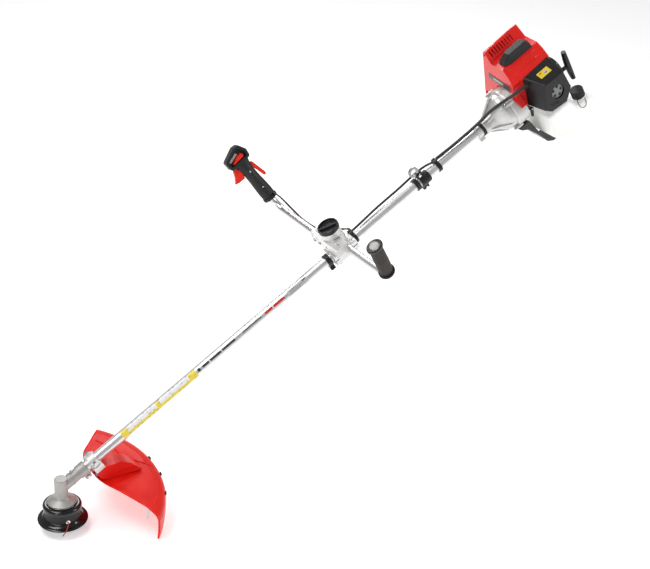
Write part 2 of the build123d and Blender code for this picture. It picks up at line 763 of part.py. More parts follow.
loop_outline = [(-37, -17), (30, -18), (33.5, 4), (22, 28), (6, 30), (-38, 12)]
loop_pocket = [(-29.5, -9.8), (23.5, -10.6), (25.6, 3), (17.0, 20.5), (7.6, 22.2),
               (-29.8, 6.6)]
trigger_slot = [(-60, -19), (-5, -19), (-5, -63), (-60, -63)]
lock_slot = [(6, -30.5), (60, -30.5), (60, -93.5), (12.6, -93.5), (12.6, -66), (6, -62)]
trigger_pivot, lock_pivot = (-20, -25), (17, -37)
with BuildPart() as throttle_housing:
    for distance, fore_r, side_r in right_stations:
        with BuildSketch(right_section(distance)):
            Ellipse(fore_r, side_r)
    loft()
    with BuildSketch(right_section(33)):
        Ellipse(21.5, 19.5)
    extrude(amount=9)
    fillet(throttle_housing.edges().group_by(Axis(right_corner, right_grip_dir))[0], radius=3)
    with BuildSketch(loop_plane(-12)):
        with BuildLine():
            FilletPolyline(*loop_outline, radius=7.5, close=True)
        make_face()
    extrude(amount=24)
    # recessed faces of the loop, inner then outer
    for inset, depth in ((2, 14), (-4, -14)):
        with BuildSketch(loop_plane(inset)):
            with BuildLine():
                FilletPolyline(*loop_pocket, radius=3, close=True)
            make_face()
        extrude(amount=depth, mode=Mode.SUBTRACT)
    with BuildSketch(right_section(30)):
        Circle(bar_hole_r)
    extrude(amount=88.2, mode=Mode.SUBTRACT)
    for slot, half_width in ((trigger_slot, 6.3), (lock_slot, 5.3)):
        with BuildSketch(loop_plane(-half_width)):
            with BuildLine():
                Polyline(*slot, close=True)
            make_face()
        extrude(amount=2 * half_width, mode=Mode.SUBTRACT)
    with BuildSketch(loop_plane(-30)):
        with Locations(trigger_pivot, lock_pivot):
            Circle(1.53)
    extrude(amount=60, mode=Mode.SUBTRACT)
    # the two halves meet on the grip's middle plane
    with BuildSketch(loop_plane(-0.02)):
        with Locations((0, -60)):
            Rectangle(200, 300)
    extrude(amount=0.04, mode=Mode.SUBTRACT)
    # pivot pins
    with BuildSketch(loop_plane(-11)):
        with Locations(trigger_pivot, lock_pivot):
            Circle(1.5)
    extrude(amount=22)
save(throttle_housing, "throttle_housing")


def save_lever(name, outline, pivot, thickness):
    """A flat lever on the grip's middle plane, with a hole at its pivot."""
    with BuildPart() as lever:
        with BuildSketch(loop_plane(-thickness / 2)):
            with BuildLine():
                Polyline(*outline, close=True)
            make_face()
            with Locations(pivot):
                Circle(1.56, mode=Mode.SUBTRACT)
        extrude(amount=thickness)
    save(lever, name)


trigger_outline = [(-15, -22), (-33, -21.5), (-41, -39), (-51.5, -53), (-40, -56),
                   (-20, -57.5), (-17, -45), (-14, -36)]
lock_outline = [(13, -33), (19, -32), (25, -36), (35, -84), (32, -91), (26.5, -88),
                (21, -64), (14.5, -44), (12.5, -38)]
save_lever("throttle_trigger", trigger_outline, trigger_pivot, thickness=11.2)
save_lever("throttle_lock", lock_outline, lock_pivot, thickness=9.6)

# rocker on the loop's inner face
with BuildPart() as stop_switch:
    with BuildSketch(loop_plane(2.05)):
        with BuildLine():
            FilletPolyline((-19, -9), (16, -8), (18, 0), (13, 6.5), (-4, 3.4), (-23, -6),
                           radius=1.6, close=True)
        make_face()
    extrude(amount=8, taper=10)
save(stop_switch, "stop_switch")

# ============================================================= harness hanger
with BuildPart() as hanger_clamp:
    with BuildSketch(across(1246)):
        Circle(18.6)
        with Locations((0, 19)):
            Rectangle(14, 14)
        with Locations((-4, -21)):
            Rectangle(9, 12)
        Circle(tube_hole_r, mode=Mode.SUBTRACT)
        with Locations((-4, -21)):
            Rectangle(1.4, 22, mode=Mode.SUBTRACT)
    extrude(amount=20)
    # slot for the ring, then the two cross holes
    with BuildSketch(across(1244, 0, 24.6)):
        Rectangle(5.4, 13.4)
    extrude(amount=24, mode=Mode.SUBTRACT)
    for spot, radius in ((hinge_spot, 2.03), (pinch_spot, 2.1)):
        with BuildSketch(side(20, *spot)):
            Circle(radius)
        extrude(amount=40, mode=Mode.SUBTRACT)
save(hanger_clamp, "hanger_clamp")

ring_spot = (1243.5, 40.5)  # along, height
with BuildPart() as hanger_ring:
    with BuildSketch(side(2.4)):
        with Locations(ring_spot):
            Circle(15.3)
        with BuildLine():
            Polyline((1236, 32), (1249, 19.6), (1255, 25.6), (1253, 38), close=True)
        make_face()
        with Locations(hinge_spot):
            Circle(4.2)
        with Locations(ring_spot):
            Circle(8.6, mode=Mode.SUBTRACT)
        with Locations(hinge_spot):
            Circle(2.05, mode=Mode.SUBTRACT)
    extrude(amount=4.8)
save(hanger_ring, "hanger_ring")

clip_starts = (1002, 1308)
cable_y, cable_height = 4, 20.3         # the cable's place in the clips
with BuildPart() as cable_clips:
    for start in clip_starts:
        with BuildSketch(across(start)):
            Circle(16.2)
            with Locations((cable_y, 19.5)):
                Rectangle(15, 9)
            Circle(tube_hole_r, mode=Mode.SUBTRACT)
            with Locations((cable_y, cable_height)):
                Circle(4.05, mode=Mode.SUBTRACT)
        extrude(amount=12)
save(cable_clips, "cable_clips")

cable_points = (  # along, y, height
    (1003, cable_y, cable_height), (1014, cable_y, cable_height), (1110, 13.5, 17.5),
    (1200, 17.5, 15.5), (1256, 20, 16.0), (1295, 10, 19.3),
    (1308, cable_y, cable_height), (1320, cable_y, cable_height), (1384, 0, 20.5),
    (1441, -6, 26.6), (1481, -10, 32), (1516, -20, 44.2), (1551, -38, 56),
    (1582, -53, 62.9), (1606, -60, 66), (1627, -63, 65))
with BuildPart() as throttle_cable:
    with BuildLine():
        cable_path = Spline(*[place(*point) for point in cable_points])
    with BuildSketch(Plane(origin=cable_path @ 0, z_dir=cable_path % 0)):
        Circle(3.2)
    sweep()
save(throttle_cable, "throttle_cable")

# ===================================================================== clutch
save_rings("isolator_ring", (1473.1, 20.2, tube_hole_r, 8), (1478.2, 16, 9, 2.9))

with BuildPart() as clutch_housing:
    with BuildSketch(shaft_half):
        with BuildLine():
            Polyline((1481.2, 12.1), (1481.2, 20.5), (1484, 22), (1500, 24), (1516, 31),
                     (1536, 47), (1546, 53), (1556, 54.5), (1562, 54.5), (1562, 50.5),
                     (1546, 49), (1532, 43.5), (1512, 27), (1509, 20), (1509, 16.1),
                     (1499, 16.1), (1499, 12.1), close=True)
        make_face()
    revolve(axis=shaft_axis)
    # four lugs and their bolt holes
    with BuildSketch(across(1553)):
        with PolarLocations(joint_lug_r, 4, start_angle=joint_angle):
            Circle(6.5)
        Circle(51, mode=Mode.SUBTRACT)
    extrude(amount=9)
    with BuildSketch(across(1550)):
        with PolarLocations(joint_bolt_r, 4, start_angle=joint_angle):
            Circle(2.7)
    extrude(amount=20, mode=Mode.SUBTRACT)
    # ribs down the cone, 3 thick
    for k in range(6):
        outward = shaft_radial(15 + 60 * k)
        with BuildSketch(Plane(origin=apex + outward.cross(shaft_dir) * 1.5,
                               x_dir=shaft_dir, z_dir=shaft_dir.cross(outward))):
            with BuildLine():
                Polyline((1490, 21), (1497, 26), (1542, 54.5), (1554, 54.5), (1546, 51),
                         (1532, 43), (1514, 28.5), (1500, 22), close=True)
            make_face()
        extrude(amount=3)
save(clutch_housing, "clutch_housing")

clutch_start = 1537
crank_hole_r = crank_r + fit
with BuildPart() as clutch_shoes:
    # upper and lower shoe
    for facing in (1, -1):
        with BuildSketch(across(clutch_start)):
            Circle(35.2)
            Circle(17, mode=Mode.SUBTRACT)
            with Locations((0, -facing * 20.5)):
                Rectangle(80, 43, mode=Mode.SUBTRACT)
            with Locations((24, facing * 8), (-24, facing * 8)):
                Circle(2.4, mode=Mode.SUBTRACT)
        extrude(amount=16)
    # hub, and the arms behind the shoes
    with BuildSketch(across(clutch_start)):
        Circle(14)
        Circle(crank_hole_r, mode=Mode.SUBTRACT)
    extrude(amount=22)
    with BuildSketch(across(1553.1)):
        Rectangle(60, 12)
        Circle(13.9)
        Circle(crank_hole_r, mode=Mode.SUBTRACT)
    extrude(amount=3)
save(clutch_shoes, "clutch_shoes")

# ===================================================================== engine
with BuildPart() as flywheel:
    with BuildSketch(shaft_half):
        with BuildLine():
            Polyline((1566, crank_hole_r), (1566, 16), (1574, 20), (1574, 46), (1572, 50),
                     (1580, 50), (1584, 46), (1584, 16), (1594, 14), (1594, crank_hole_r),
                     close=True)
        make_face()
    revolve(axis=shaft_axis)
    # fan blades on the front
    with BuildSketch(across(1568.5)):
        with PolarLocations(38, 14):
            Rectangle(18, 2.2, rotation=22)
    extrude(amount=6)
save(flywheel, "flywheel")

web_gap, web_width = 6, 13  # half the gap between the crank webs, thickness of one
web_outer = web_gap + web_width
with BuildPart() as crankshaft:
    with BuildSketch(across(clutch_start)):
        Circle(crank_r)
    extrude(amount=crank_mid - web_outer - clutch_start)
    for start in (crank_mid - web_outer, crank_mid + web_gap):
        with BuildSketch(across(start)):
            Circle(30)
            with Locations((-17, 20), (17, 20)):
                Circle(6.5, mode=Mode.SUBTRACT)
        extrude(amount=web_width)
    with BuildSketch(across(crank_mid + web_outer)):
        Circle(crank_r)
    extrude(amount=50)
save(crankshaft, "crankshaft")

choke_spot = (1614, -16)   # along, height
with BuildPart() as crankcase:
    with BuildSketch(across(1602.1)):
        Circle(42)
        with Locations((0, 20)):
            Rectangle(66, 40)
    extrude(amount=92)
    with BuildSketch(deck(0, crank_mid)):
        Rectangle(82, 72)
    extrude(amount=41.9)
    # stepped post for the choke lever
    for radius, length in ((5, 19.8), (2.0, 27)):
        with BuildSketch(side(-30, *choke_spot)):
            Circle(radius)
        extrude(amount=length)
    # crank chamber, shaft passage, bearing seats and cylinder opening
    for plane, radius, depth in ((across(1627), 34, 44),
                                 (across(1600), 12, 110),
                                 (across(1611), crank_bearing_r + fit, 76.1),
                                 (deck(0, crank_mid), bore_r + 0.6, 50)):
        with BuildSketch(plane):
            Circle(radius)
        extrude(amount=depth, mode=Mode.SUBTRACT)
    # round shroud over the flywheel, with its lugs and bolt holes
    with BuildSketch(shaft_half):
        with BuildLine():
            Polyline((1562.1, 50.5), (1562.1, 57), (1568, 60), (1602, 60), (1602, 20),
                     (1597, 20), (1597, 56.5), (1568, 56.5), (1566, 50.5), close=True)
        make_face()
    revolve(axis=shaft_axis)
    with BuildSketch(across(1562.1)):
        with PolarLocations(joint_lug_r, 4, start_angle=joint_angle):
            Circle(7)
        Circle(56.6, mode=Mode.SUBTRACT)
    extrude(amount=14)
    with BuildSketch(across(1562.0)):
        with PolarLocations(joint_bolt_r, 4, start_angle=joint_angle):
            Circle(2.7)
    extrude(amount=8, mode=Mode.SUBTRACT)
save(crankcase, "crankcase")

cylinder_base = 42         # height of the cylinder's foot
fin_count, fin_pitch, fin_start = 8, 7.2, 53
with BuildPart() as cylinder:
    with BuildSketch(deck(cylinder_base, crank_mid)):
        Rectangle(72, 54)
    extrude(amount=6)
    with BuildSketch(deck(cylinder_base, crank_mid)):
        Circle(bore_r + 5)
    extrude(amount=62.8)
    for k in range(fin_count):
        with BuildSketch(deck(fin_start + fin_pitch * k, crank_mid)):
            RectangleRounded(76, 50, 8)
        extrude(amount=2.4)
    with BuildSketch(deck(cylinder_base, crank_mid)):
        Circle(bore_r)
    extrude(amount=53, mode=Mode.SUBTRACT)
    # spark plug hole
    with BuildSketch(deck(90, crank_mid)):
        Circle(6.1)
    extrude(amount=30, mode=Mode.SUBTRACT)
save(cylinder, "cylinder")

crank_pin_height = stroke / 2           # at top dead centre
pin_height = crank_pin_height + rod_length
with BuildPart() as piston:
    with BuildSketch(deck(pin_height - 13, crank_mid)):
        Circle(bore_r - 0.05)
    extrude(amount=27)
    with BuildSketch(deck(pin_height - 14, crank_mid)):
        Circle(bore_r - 3)
    extrude(amount=23, mode=Mode.SUBTRACT)
    # pin bosses and the hole through them
    for start in (crank_mid - 19.5, crank_mid + 8.5):
        with BuildSketch(across(start, 0, pin_height)):
            Circle(7.5)
        extrude(amount=11)
    with BuildSketch(across(crank_mid - 30, 0, pin_height)):
        Circle(4.52)
    extrude(amount=60, mode=Mode.SUBTRACT)
    # ring grooves
    for height in (pin_height + 8, pin_height + 11.2):
        with BuildSketch(deck(height, crank_mid)):
            Circle(bore_r + 1)
            Circle(bore_r - 1.6, mode=Mode.SUBTRACT)
        extrude(amount=1.3, mode=Mode.SUBTRACT)
    # hollow piston pin
    with BuildSketch(across(crank_mid - 18, 0, pin_height)):
        Circle(4.5)
        Circle(2.5, mode=Mode.SUBTRACT)
    extrude(amount=36)
save(piston, "piston")

with BuildPart() as connecting_rod:
    with BuildSketch(across(crank_mid - 4)):
        with Locations((0, pin_height)):
            Circle(7.6)
        with Locations((0, crank_pin_height)):
            Circle(10.5)
        with Locations((0, (pin_height + crank_pin_height) / 2)):
            Rectangle(9, rod_length)
        with Locations((0, pin_height)):
            Circle(4.54, mode=Mode.SUBTRACT)
        with Locations((0, crank_pin_height)):
            Circle(6.5, mode=Mode.SUBTRACT)
    extrude(amount=8)
save(connecting_rod, "connecting_rod")

save_turned("spark_plug", [
    (0, 96), (6, 96), (6, 106.2), (8.5, 106.2), (8.5, 112), (5, 113), (4.4, 124),
    (2.5, 126), (0, 126)], plane=side(0, crank_mid), axis=Axis(place(crank_mid, 0, 0), lift_dir))

# ============================================================== engine covers
# The cover and the muffler guard are sections in y and height run along the shaft.
# Their front leans to the rear with height, and clears the crankcase shroud.
hood_start, hood_length = 1574, 153
wall_start, wall_length = 1576, 25.9
front_face = Plane(origin=place(1600, 0, 130), x_dir=right_dir,
                   z_dir=(shaft_dir * 1.0 + lift_dir * -0.17).normalized())
shroud_clearance = ((61, 42.2), (66, 16.1))     # radius, depth from 1560

# sections as (y, height)
cover_outside = [(36.0, 124), (16, 122), (-16, 121), (-33, 104), (-46, 83), (-46, -4),
                 (36, -4)]
cover_inside = [(36.5, 121), (16, 119), (-15, 118), (-30.5, 102), (-43, 82), (-43, -10),
                (36.5, -10)]
with BuildPart() as engine_cover:
    with BuildSketch(across(hood_start)):
        with BuildLine():
            Polyline(*cover_outside, close=True)
        make_face()
    extrude(amount=hood_length)
    split(bisect_by=front_face, keep=Keep.TOP)
    long_edges = engine_cover.edges().filter_by(shaft_axis)
    fillet(long_edges.filter_by(
        lambda edge: height_of(edge) > 60 and edge.center().Y < 10), radius=7)
    # cavity, which leaves the lower left wall thicker
    with BuildSketch(across(1560)):
        with BuildLine():
            Polyline(*cover_inside, close=True)
        make_face()
        with BuildLine():
            Polyline((-42, 78), (-60, 78), (-60, -20), (-42, -20), close=True)
        make_face(mode=Mode.SUBTRACT)
    extrude(amount=200, mode=Mode.SUBTRACT)
    # front wall, cut back to the leaning face and cleared round the shroud
    with BuildSketch(across(wall_start)):
        with BuildLine():
            Polyline((36.0, 123.4), (16, 121.4), (-15.4, 120.4), (-32, 103), (-45, 82.4),
                     (-45, 40), (36, 40), close=True)
        make_face()
    extrude(amount=wall_length)
    with BuildSketch(front_face):
        Rectangle(400, 500)
    extrude(amount=-60, mode=Mode.SUBTRACT)
    for radius, depth in shroud_clearance:
        with BuildSketch(across(1560)):
            Circle(radius)
        extrude(amount=depth, mode=Mode.SUBTRACT)
    # window for the intake in the left wall
    with BuildSketch(side(-40)):
        with BuildLine():
            Polyline((1626, 74), (1740, 74), (1740, -20), (1626, -20), close=True)
        make_face()
    extrude(amount=10, mode=Mode.SUBTRACT)
    # opening over the spark plug
    with BuildSketch(deck(110, crank_mid)):
        Circle(12)
    extrude(amount=30, mode=Mode.SUBTRACT)
save(engine_cover, "engine_cover")

# height, then the outline as (along, y)
plug_cover_stations = (
    (122.6, [(1612, 14), (1612, -10), (1630, -18), (1706, -18), (1712, 0), (1706, 22),
             (1630, 20)]),
    (134, [(1616, 12), (1616, -8), (1632, -17), (1703, -16), (1708, 0), (1703, 20),
           (1632, 18)]),
    (147, [(1634, 9), (1634, -6), (1640, -11), (1694, -10), (1698, 0), (1694, 13),
           (1642, 12)]),
)
with BuildPart() as plug_cover:
    for height, outline in plug_cover_stations:
        with BuildSketch(deck(height)):
            with BuildLine():
                Polyline(*outline, close=True)
            make_face()
    loft(ruled=True)
    with BuildSketch(deck(122, crank_mid)):
        Circle(7)
    extrude(amount=8, mode=Mode.SUBTRACT)
save(plug_cover, "plug_cover")

with BuildPart() as muffler_guard:
    with BuildSketch(across(hood_start)):
        with BuildLine():
            Polyline((36.1, 124), (59, 156.5), (62, 156), (70, 120), (98, 8), (98, -4),
                     (36.1, -4), close=True)
        make_face()
    extrude(amount=hood_length)
    split(bisect_by=front_face, keep=Keep.TOP)
    with BuildSketch(across(1560)):
        with BuildLine():
            Polyline((30, 120), (37.4, 120.8), (60.4, 150.6), (67, 119), (95, 8), (95, -20),
                     (30, -20), close=True)
        make_face()
    extrude(amount=200, mode=Mode.SUBTRACT)
    # front wall, cut back to the leaning face and cleared round the shroud
    with BuildSketch(across(wall_start)):
        with BuildLine():
            Polyline((36.1, 122), (60, 155), (69, 119), (96, 20), (36.1, 20), close=True)
        make_face()
    extrude(amount=wall_length)
    with BuildSketch(front_face):
        Rectangle(400, 500)
    extrude(amount=-60, mode=Mode.SUBTRACT)
    for radius, depth in shroud_clearance:
        with BuildSketch(across(1560)):
            Circle(radius)
        extrude(amount=depth, mode=Mode.SUBTRACT)
    # the crest rises towards the rear: trim the top to a slope
    with BuildSketch(side(100)):
        with BuildLine():
            Polyline((1570, 151), (1600, 152.5), (1730, 158), (1730, 190), (1570, 190),
                     close=True)
        make_face()
    extrude(amount=70, mode=Mode.SUBTRACT)
    # louvre slots in the inner slope
    with BuildSketch(Plane(origin=place(1655, 48.5, 141), x_dir=shaft_dir,
                           z_dir=(right_dir * -0.81 + lift_dir * 0.586).normalized())):
        with GridLocations(9.4, 30, 9, 1):
            SlotOverall(20, 4.4, rotation=90)
    extrude(amount=12, both=True, mode=Mode.SUBTRACT)
    # louvre slots in the outer side
    with BuildSketch(Plane(origin=place(1660, 85, 60), x_dir=shaft_dir,
                           z_dir=(right_dir * 0.97 + lift_dir * 0.24).normalized())):
        with GridLocations(11, 34, 9, 2):
            SlotOverall(26, 4.6, rotation=90)
    extrude(amount=9, both=True, mode=Mode.SUBTRACT)
save(muffler_guard, "muffler_guard")

# ========================================================= exhaust and intake
with BuildPart() as muffler:
    with BuildSketch(side(67, 1660, 58)):
        RectangleRounded(84, 74, 12)
    extrude(amount=25)
    fillet(muffler.edges().group_by(right_axis)[-1], radius=6)
    # round stub towards the cylinder, short pipe below
    with BuildSketch(side(42, crank_mid, 66)):
        Circle(11)
    extrude(amount=14.9)
    with BuildSketch(deck(20, 1690, 55)):
        Circle(7)
        Circle(5, mode=Mode.SUBTRACT)
    extrude(amount=-14)
save(muffler, "muffler")

throat_spot = (crank_mid + 8, 52)       # carburettor throat: along, height
knob_spot = (1678, 19)                  # air cleaner's knob: along, height
with BuildPart() as carburettor:
    with BuildSketch(side(-31.1, crank_mid + 6, 54.2)):
        Rectangle(44, 24)
    extrude(amount=8)
    with BuildSketch(side(-39, crank_mid + 8, 48)):
        RectangleRounded(38, 38, 5)
    extrude(amount=22.9)
    with BuildSketch(side(-48, *throat_spot)):
        Circle(8)
    extrude(amount=16, mode=Mode.SUBTRACT)
    # back plate of the air cleaner, and the post for its knob
    with BuildSketch(side(-62)):
        with BuildLine():
            Polyline((1640, 68), (1712, 70), (1720, 2), (1690, -22), (1642, -17), (1628, -3),
                     close=True)
        make_face()
        with Locations(throat_spot):
            Circle(8, mode=Mode.SUBTRACT)
    extrude(amount=3)
    with BuildSketch(side(-65, *knob_spot)):
        Circle(6)
    extrude(amount=30)
save(carburettor, "carburettor")

# air cleaner outlines as (along, height); the mouth faces the engine
cleaner_mouth = [(1613, -4), (1634, -25), (1696, -31), (1731, 5), (1722, 85), (1629, 79)]
cleaner_face = [(1621, -7), (1638, -25), (1693, -31), (1723, 3), (1717, 65), (1646, 66)]
cavity_mouth = [(1633, 75), (1718, 80), (1727, 4), (1694, -27), (1636, -21), (1618, -3)]
cavity_floor = [(1650, 61), (1713, 60), (1719, 2), (1691, -27), (1640, -21), (1625, -5)]
with BuildPart() as air_cleaner_cover:
    for y, outline in ((-46.2, cleaner_mouth), (-104, cleaner_face)):
        with BuildSketch(side(y)):
            with BuildLine():
                FilletPolyline(*outline, radius=5, close=True)
            make_face()
    loft()
    with BuildSketch(side(-104)):
        with BuildLine():
            FilletPolyline(*cleaner_face, radius=5, close=True)
        make_face()
    extrude(amount=7, taper=25)
    for y, outline in ((-46.1, cavity_mouth), (-107, cavity_floor)):
        with BuildSketch(side(y)):
            with BuildLine():
                Polyline(*outline, close=True)
            make_face()
    loft(mode=Mode.SUBTRACT)
    with BuildSketch(side(-100, *knob_spot)):
        Circle(21)
    extrude(amount=12, mode=Mode.SUBTRACT)
save(air_cleaner_cover, "air_cleaner_cover")

with BuildPart() as cover_knob:
    with BuildSketch(side(-97, *knob_spot)):
        Circle(19.6)
    extrude(amount=9)
    with BuildSketch(side(-106, *knob_spot)):
        with PolarLocations(13.5, 5):
            Circle(4.6)
    extrude(amount=-6, mode=Mode.SUBTRACT)
    with BuildSketch(side(-95.2, *knob_spot)):
        Circle(6)
    extrude(amount=1.9)
save(cover_knob, "cover_knob")

with BuildPart() as choke_lever:
    with BuildSketch(side(-50)):
        with Locations(choke_spot):
            Circle(6)
        with BuildLine():
            Polyline((1610, -20), (1606, -38), (1612, -40), (1618, -20), close=True)
        make_face()
        with Locations(choke_spot):
            Circle(2.05, mode=Mode.SUBTRACT)
    extrude(amount=5)
save(choke_lever, "choke_lever")

# ============================================================= recoil starter
with BuildPart() as starter_housing:
    with BuildSketch(shaft_half):
        with BuildLine():
            Polyline((1727.2, 41), (1727.2, 45), (1742, 45), (1752, 41), (1757, 33), (1758, 0),
                     (1754, 0), (1754, 31), (1749, 38), (1741, 41.5), close=True)
        make_face()
    revolve(axis=shaft_axis)
    # ring of slots in the rear face
    with BuildSketch(across(1745)):
        with PolarLocations(25, 16):
            Rectangle(13, 4)
    extrude(amount=20, mode=Mode.SUBTRACT)
    # rope hole and its collar
    with BuildSketch(across(1730, pull_y, pull_height)):
        Circle(3.2)
    extrude(amount=40, mode=Mode.SUBTRACT)
    with BuildSketch(across(1752, pull_y, pull_height)):
        Circle(8)
        Circle(3.2, mode=Mode.SUBTRACT)
    extrude(amount=9)
    # sleeve towards the crankcase, and the reel's post
    with BuildSketch(across(1694.3)):
        Circle(41.8)
        Circle(39, mode=Mode.SUBTRACT)
    extrude(amount=34)
    with BuildSketch(across(1724)):
        Circle(3.0)
    extrude(amount=30.0)
save(starter_housing, "starter_housing")

save_turned("starter_reel", [
    (1730, 3.05), (1730, 12), (1732, 30), (1734, 30), (1734, 24), (1739, 24), (1739, 30),
    (1741, 30), (1742, 12), (1742, 3.05)], plane=shaft_half, axis=shaft_axis)

with BuildPart() as starter_rope:
    with BuildSketch(across(1744, pull_y, pull_height)):
        Circle(1.9)
    extrude(amount=35)
save(starter_rope, "starter_rope")

# stations of the pull handle: height, along, radius along the shaft, sideways radius
pull_stations = ((-58, 1786, 6.5, 7.5), (pull_height, 1784, 8.5, 10.5), (38, 1786, 6.5, 7.5))
with BuildPart() as starter_grip:
    for height, along, along_r, side_r in pull_stations:
        with BuildSketch(deck(height, along, pull_y)):
            Ellipse(along_r, side_r)
    loft()
    with BuildSketch(across(1765, pull_y, pull_height)):
        Circle(6)
    extrude(amount=16)
    with BuildSketch(across(1760, pull_y, pull_height)):
        Circle(2.0)
    extrude(amount=19.2, mode=Mode.SUBTRACT)
save(starter_grip, "starter_grip")

# ================================================================ fuel system
# tank sections as (along, height)
tank_outside = [
    (1640, -62), (1716, -62), (1736, -98), (1792, -103), (1797, -120), (1782, -142),
    (1704, -158), (1650, -156), (1632, -130)]
tank_inside = [
    (1643, -65), (1714, -65), (1734, -101), (1789, -106), (1793.5, -120), (1780, -139),
    (1704, -155), (1652, -153), (1635, -129)]
tank_half_width, tank_wall = 78, 3
cavity_half_width = tank_half_width - tank_wall
cap_spot = (1764.0, -50.0)  # along, y
with BuildPart() as fuel_tank:
    with BuildSketch(side(tank_half_width)):
        with BuildLine():
            FilletPolyline(*tank_outside, radius=9, close=True)
        make_face()
    extrude(amount=2 * tank_half_width)
    fillet(fuel_tank.edges().group_by(right_axis)[0], radius=8)
    fillet(fuel_tank.edges().group_by(right_axis)[-1], radius=8)
    with BuildSketch(side(cavity_half_width)):
        with BuildLine():
            FilletPolyline(*tank_inside, radius=6, close=True)
        make_face()
    extrude(amount=2 * cavity_half_width, mode=Mode.SUBTRACT)
    # filler neck
    with BuildSketch(deck(-103, *cap_spot)):
        Circle(14)
    extrude(amount=13)
    with BuildSketch(deck(-108, *cap_spot)):
        Circle(11)
    extrude(amount=30, mode=Mode.SUBTRACT)
save(fuel_tank, "fuel_tank")

with BuildPart() as fuel_cap:
    with BuildSketch(deck(-94, *cap_spot)):
        Circle(19)
        with PolarLocations(19, 24):
            Circle(1.2, mode=Mode.SUBTRACT)
    extrude(amount=24)
    # recess over the neck, and the plug inside it
    with BuildSketch(deck(-94, *cap_spot)):
        Circle(14.1)
    extrude(amount=4.1, mode=Mode.SUBTRACT)
    with BuildSketch(deck(-97, *cap_spot)):
        Circle(10.9)
    extrude(amount=8)
    fillet(fuel_cap.edges().group_by(lift_axis)[-1], radius=0.9)
save(fuel_cap, "fuel_cap")

# bent plate in front of the tank and under it
with BuildPart() as tank_guard:
    with BuildSketch(side(34)):
        with BuildLine():
            Polyline((1564, -60.5), (1600, -60.5), (1604, -62), (1619, -120), (1634, -160),
                     (1652, -172), (1664, -172), (1664, -176), (1648, -176), (1630, -163),
                     (1612, -122), (1590, -84), (1572, -72), close=True)
        make_face()
    extrude(amount=68)
save(tank_guard, "tank_guard")
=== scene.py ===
# A petrol brush cutter. The cutting head stands at the world origin and a straight shaft
# climbs from it at 30 degrees towards +X, to the engine. +Y is the operator's right.
# Lengths inside at(), plates, screws and turned parts are millimetres; others are metres.
import bpy
import math
from mathutils import Vector, Matrix


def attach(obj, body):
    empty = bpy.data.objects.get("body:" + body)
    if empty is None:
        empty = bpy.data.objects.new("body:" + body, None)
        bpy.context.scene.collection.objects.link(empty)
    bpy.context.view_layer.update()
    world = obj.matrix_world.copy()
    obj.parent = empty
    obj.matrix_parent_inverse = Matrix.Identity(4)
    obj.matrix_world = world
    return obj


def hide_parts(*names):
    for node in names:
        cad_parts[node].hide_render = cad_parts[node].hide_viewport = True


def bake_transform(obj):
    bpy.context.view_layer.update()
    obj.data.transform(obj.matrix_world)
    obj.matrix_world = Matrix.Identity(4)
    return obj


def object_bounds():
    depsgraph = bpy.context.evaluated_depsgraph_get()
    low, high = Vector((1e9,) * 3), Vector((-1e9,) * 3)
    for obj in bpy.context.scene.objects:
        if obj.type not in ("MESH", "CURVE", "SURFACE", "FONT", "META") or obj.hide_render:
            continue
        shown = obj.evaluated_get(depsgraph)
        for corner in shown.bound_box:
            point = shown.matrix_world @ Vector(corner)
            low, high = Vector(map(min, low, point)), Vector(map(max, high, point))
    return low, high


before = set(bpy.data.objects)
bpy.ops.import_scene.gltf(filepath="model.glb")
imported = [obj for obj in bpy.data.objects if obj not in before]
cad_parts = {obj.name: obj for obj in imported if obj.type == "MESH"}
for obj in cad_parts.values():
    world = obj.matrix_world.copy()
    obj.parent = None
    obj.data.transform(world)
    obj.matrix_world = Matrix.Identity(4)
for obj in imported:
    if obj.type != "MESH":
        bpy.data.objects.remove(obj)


def note_size():
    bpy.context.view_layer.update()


note_size()

# ------------------------------------------------------------------ axes of the machine
COS30 = math.cos(math.radians(30))
SHAFT = Vector((COS30, 0, 0.5))      # along the shaft, towards the engine
RISE = Vector((-0.5, 0, COS30))      # square to the shaft, upwards
RIGHT = Vector((0, 1, 0))
ORIGIN = Vector((0, 0, 0.1127))      # on the shaft's axis, above the head


def at(along, right, rise):
    return ORIGIN + (SHAFT * along + RIGHT * right + RISE * rise) / 1000


def run_of(points):
    """Places for a table of (along, right, rise)."""
    return [at(*point) for point in points]


def grip_direction(side):
    return (SHAFT * -11 + RIGHT * (49 * side) + RISE * 144).normalized()


GRIP = grip_direction(1)             # up the right grip
LEFT_GRIP = grip_direction(-1)
GRIP_BACK = (SHAFT - GRIP * SHAFT.dot(GRIP)).normalized()
GRIP_OUT = GRIP.cross(GRIP_BACK)     # roughly to the right
GRIP_FOOT = at(941, 262, 43)
LEFT_FOOT = at(960, -262, 43)
GRIP_MIDDLE = GRIP_FOOT + GRIP * 0.185
CLAMP_ALONG = 961                    # where the handle clamp's centre sits on the shaft


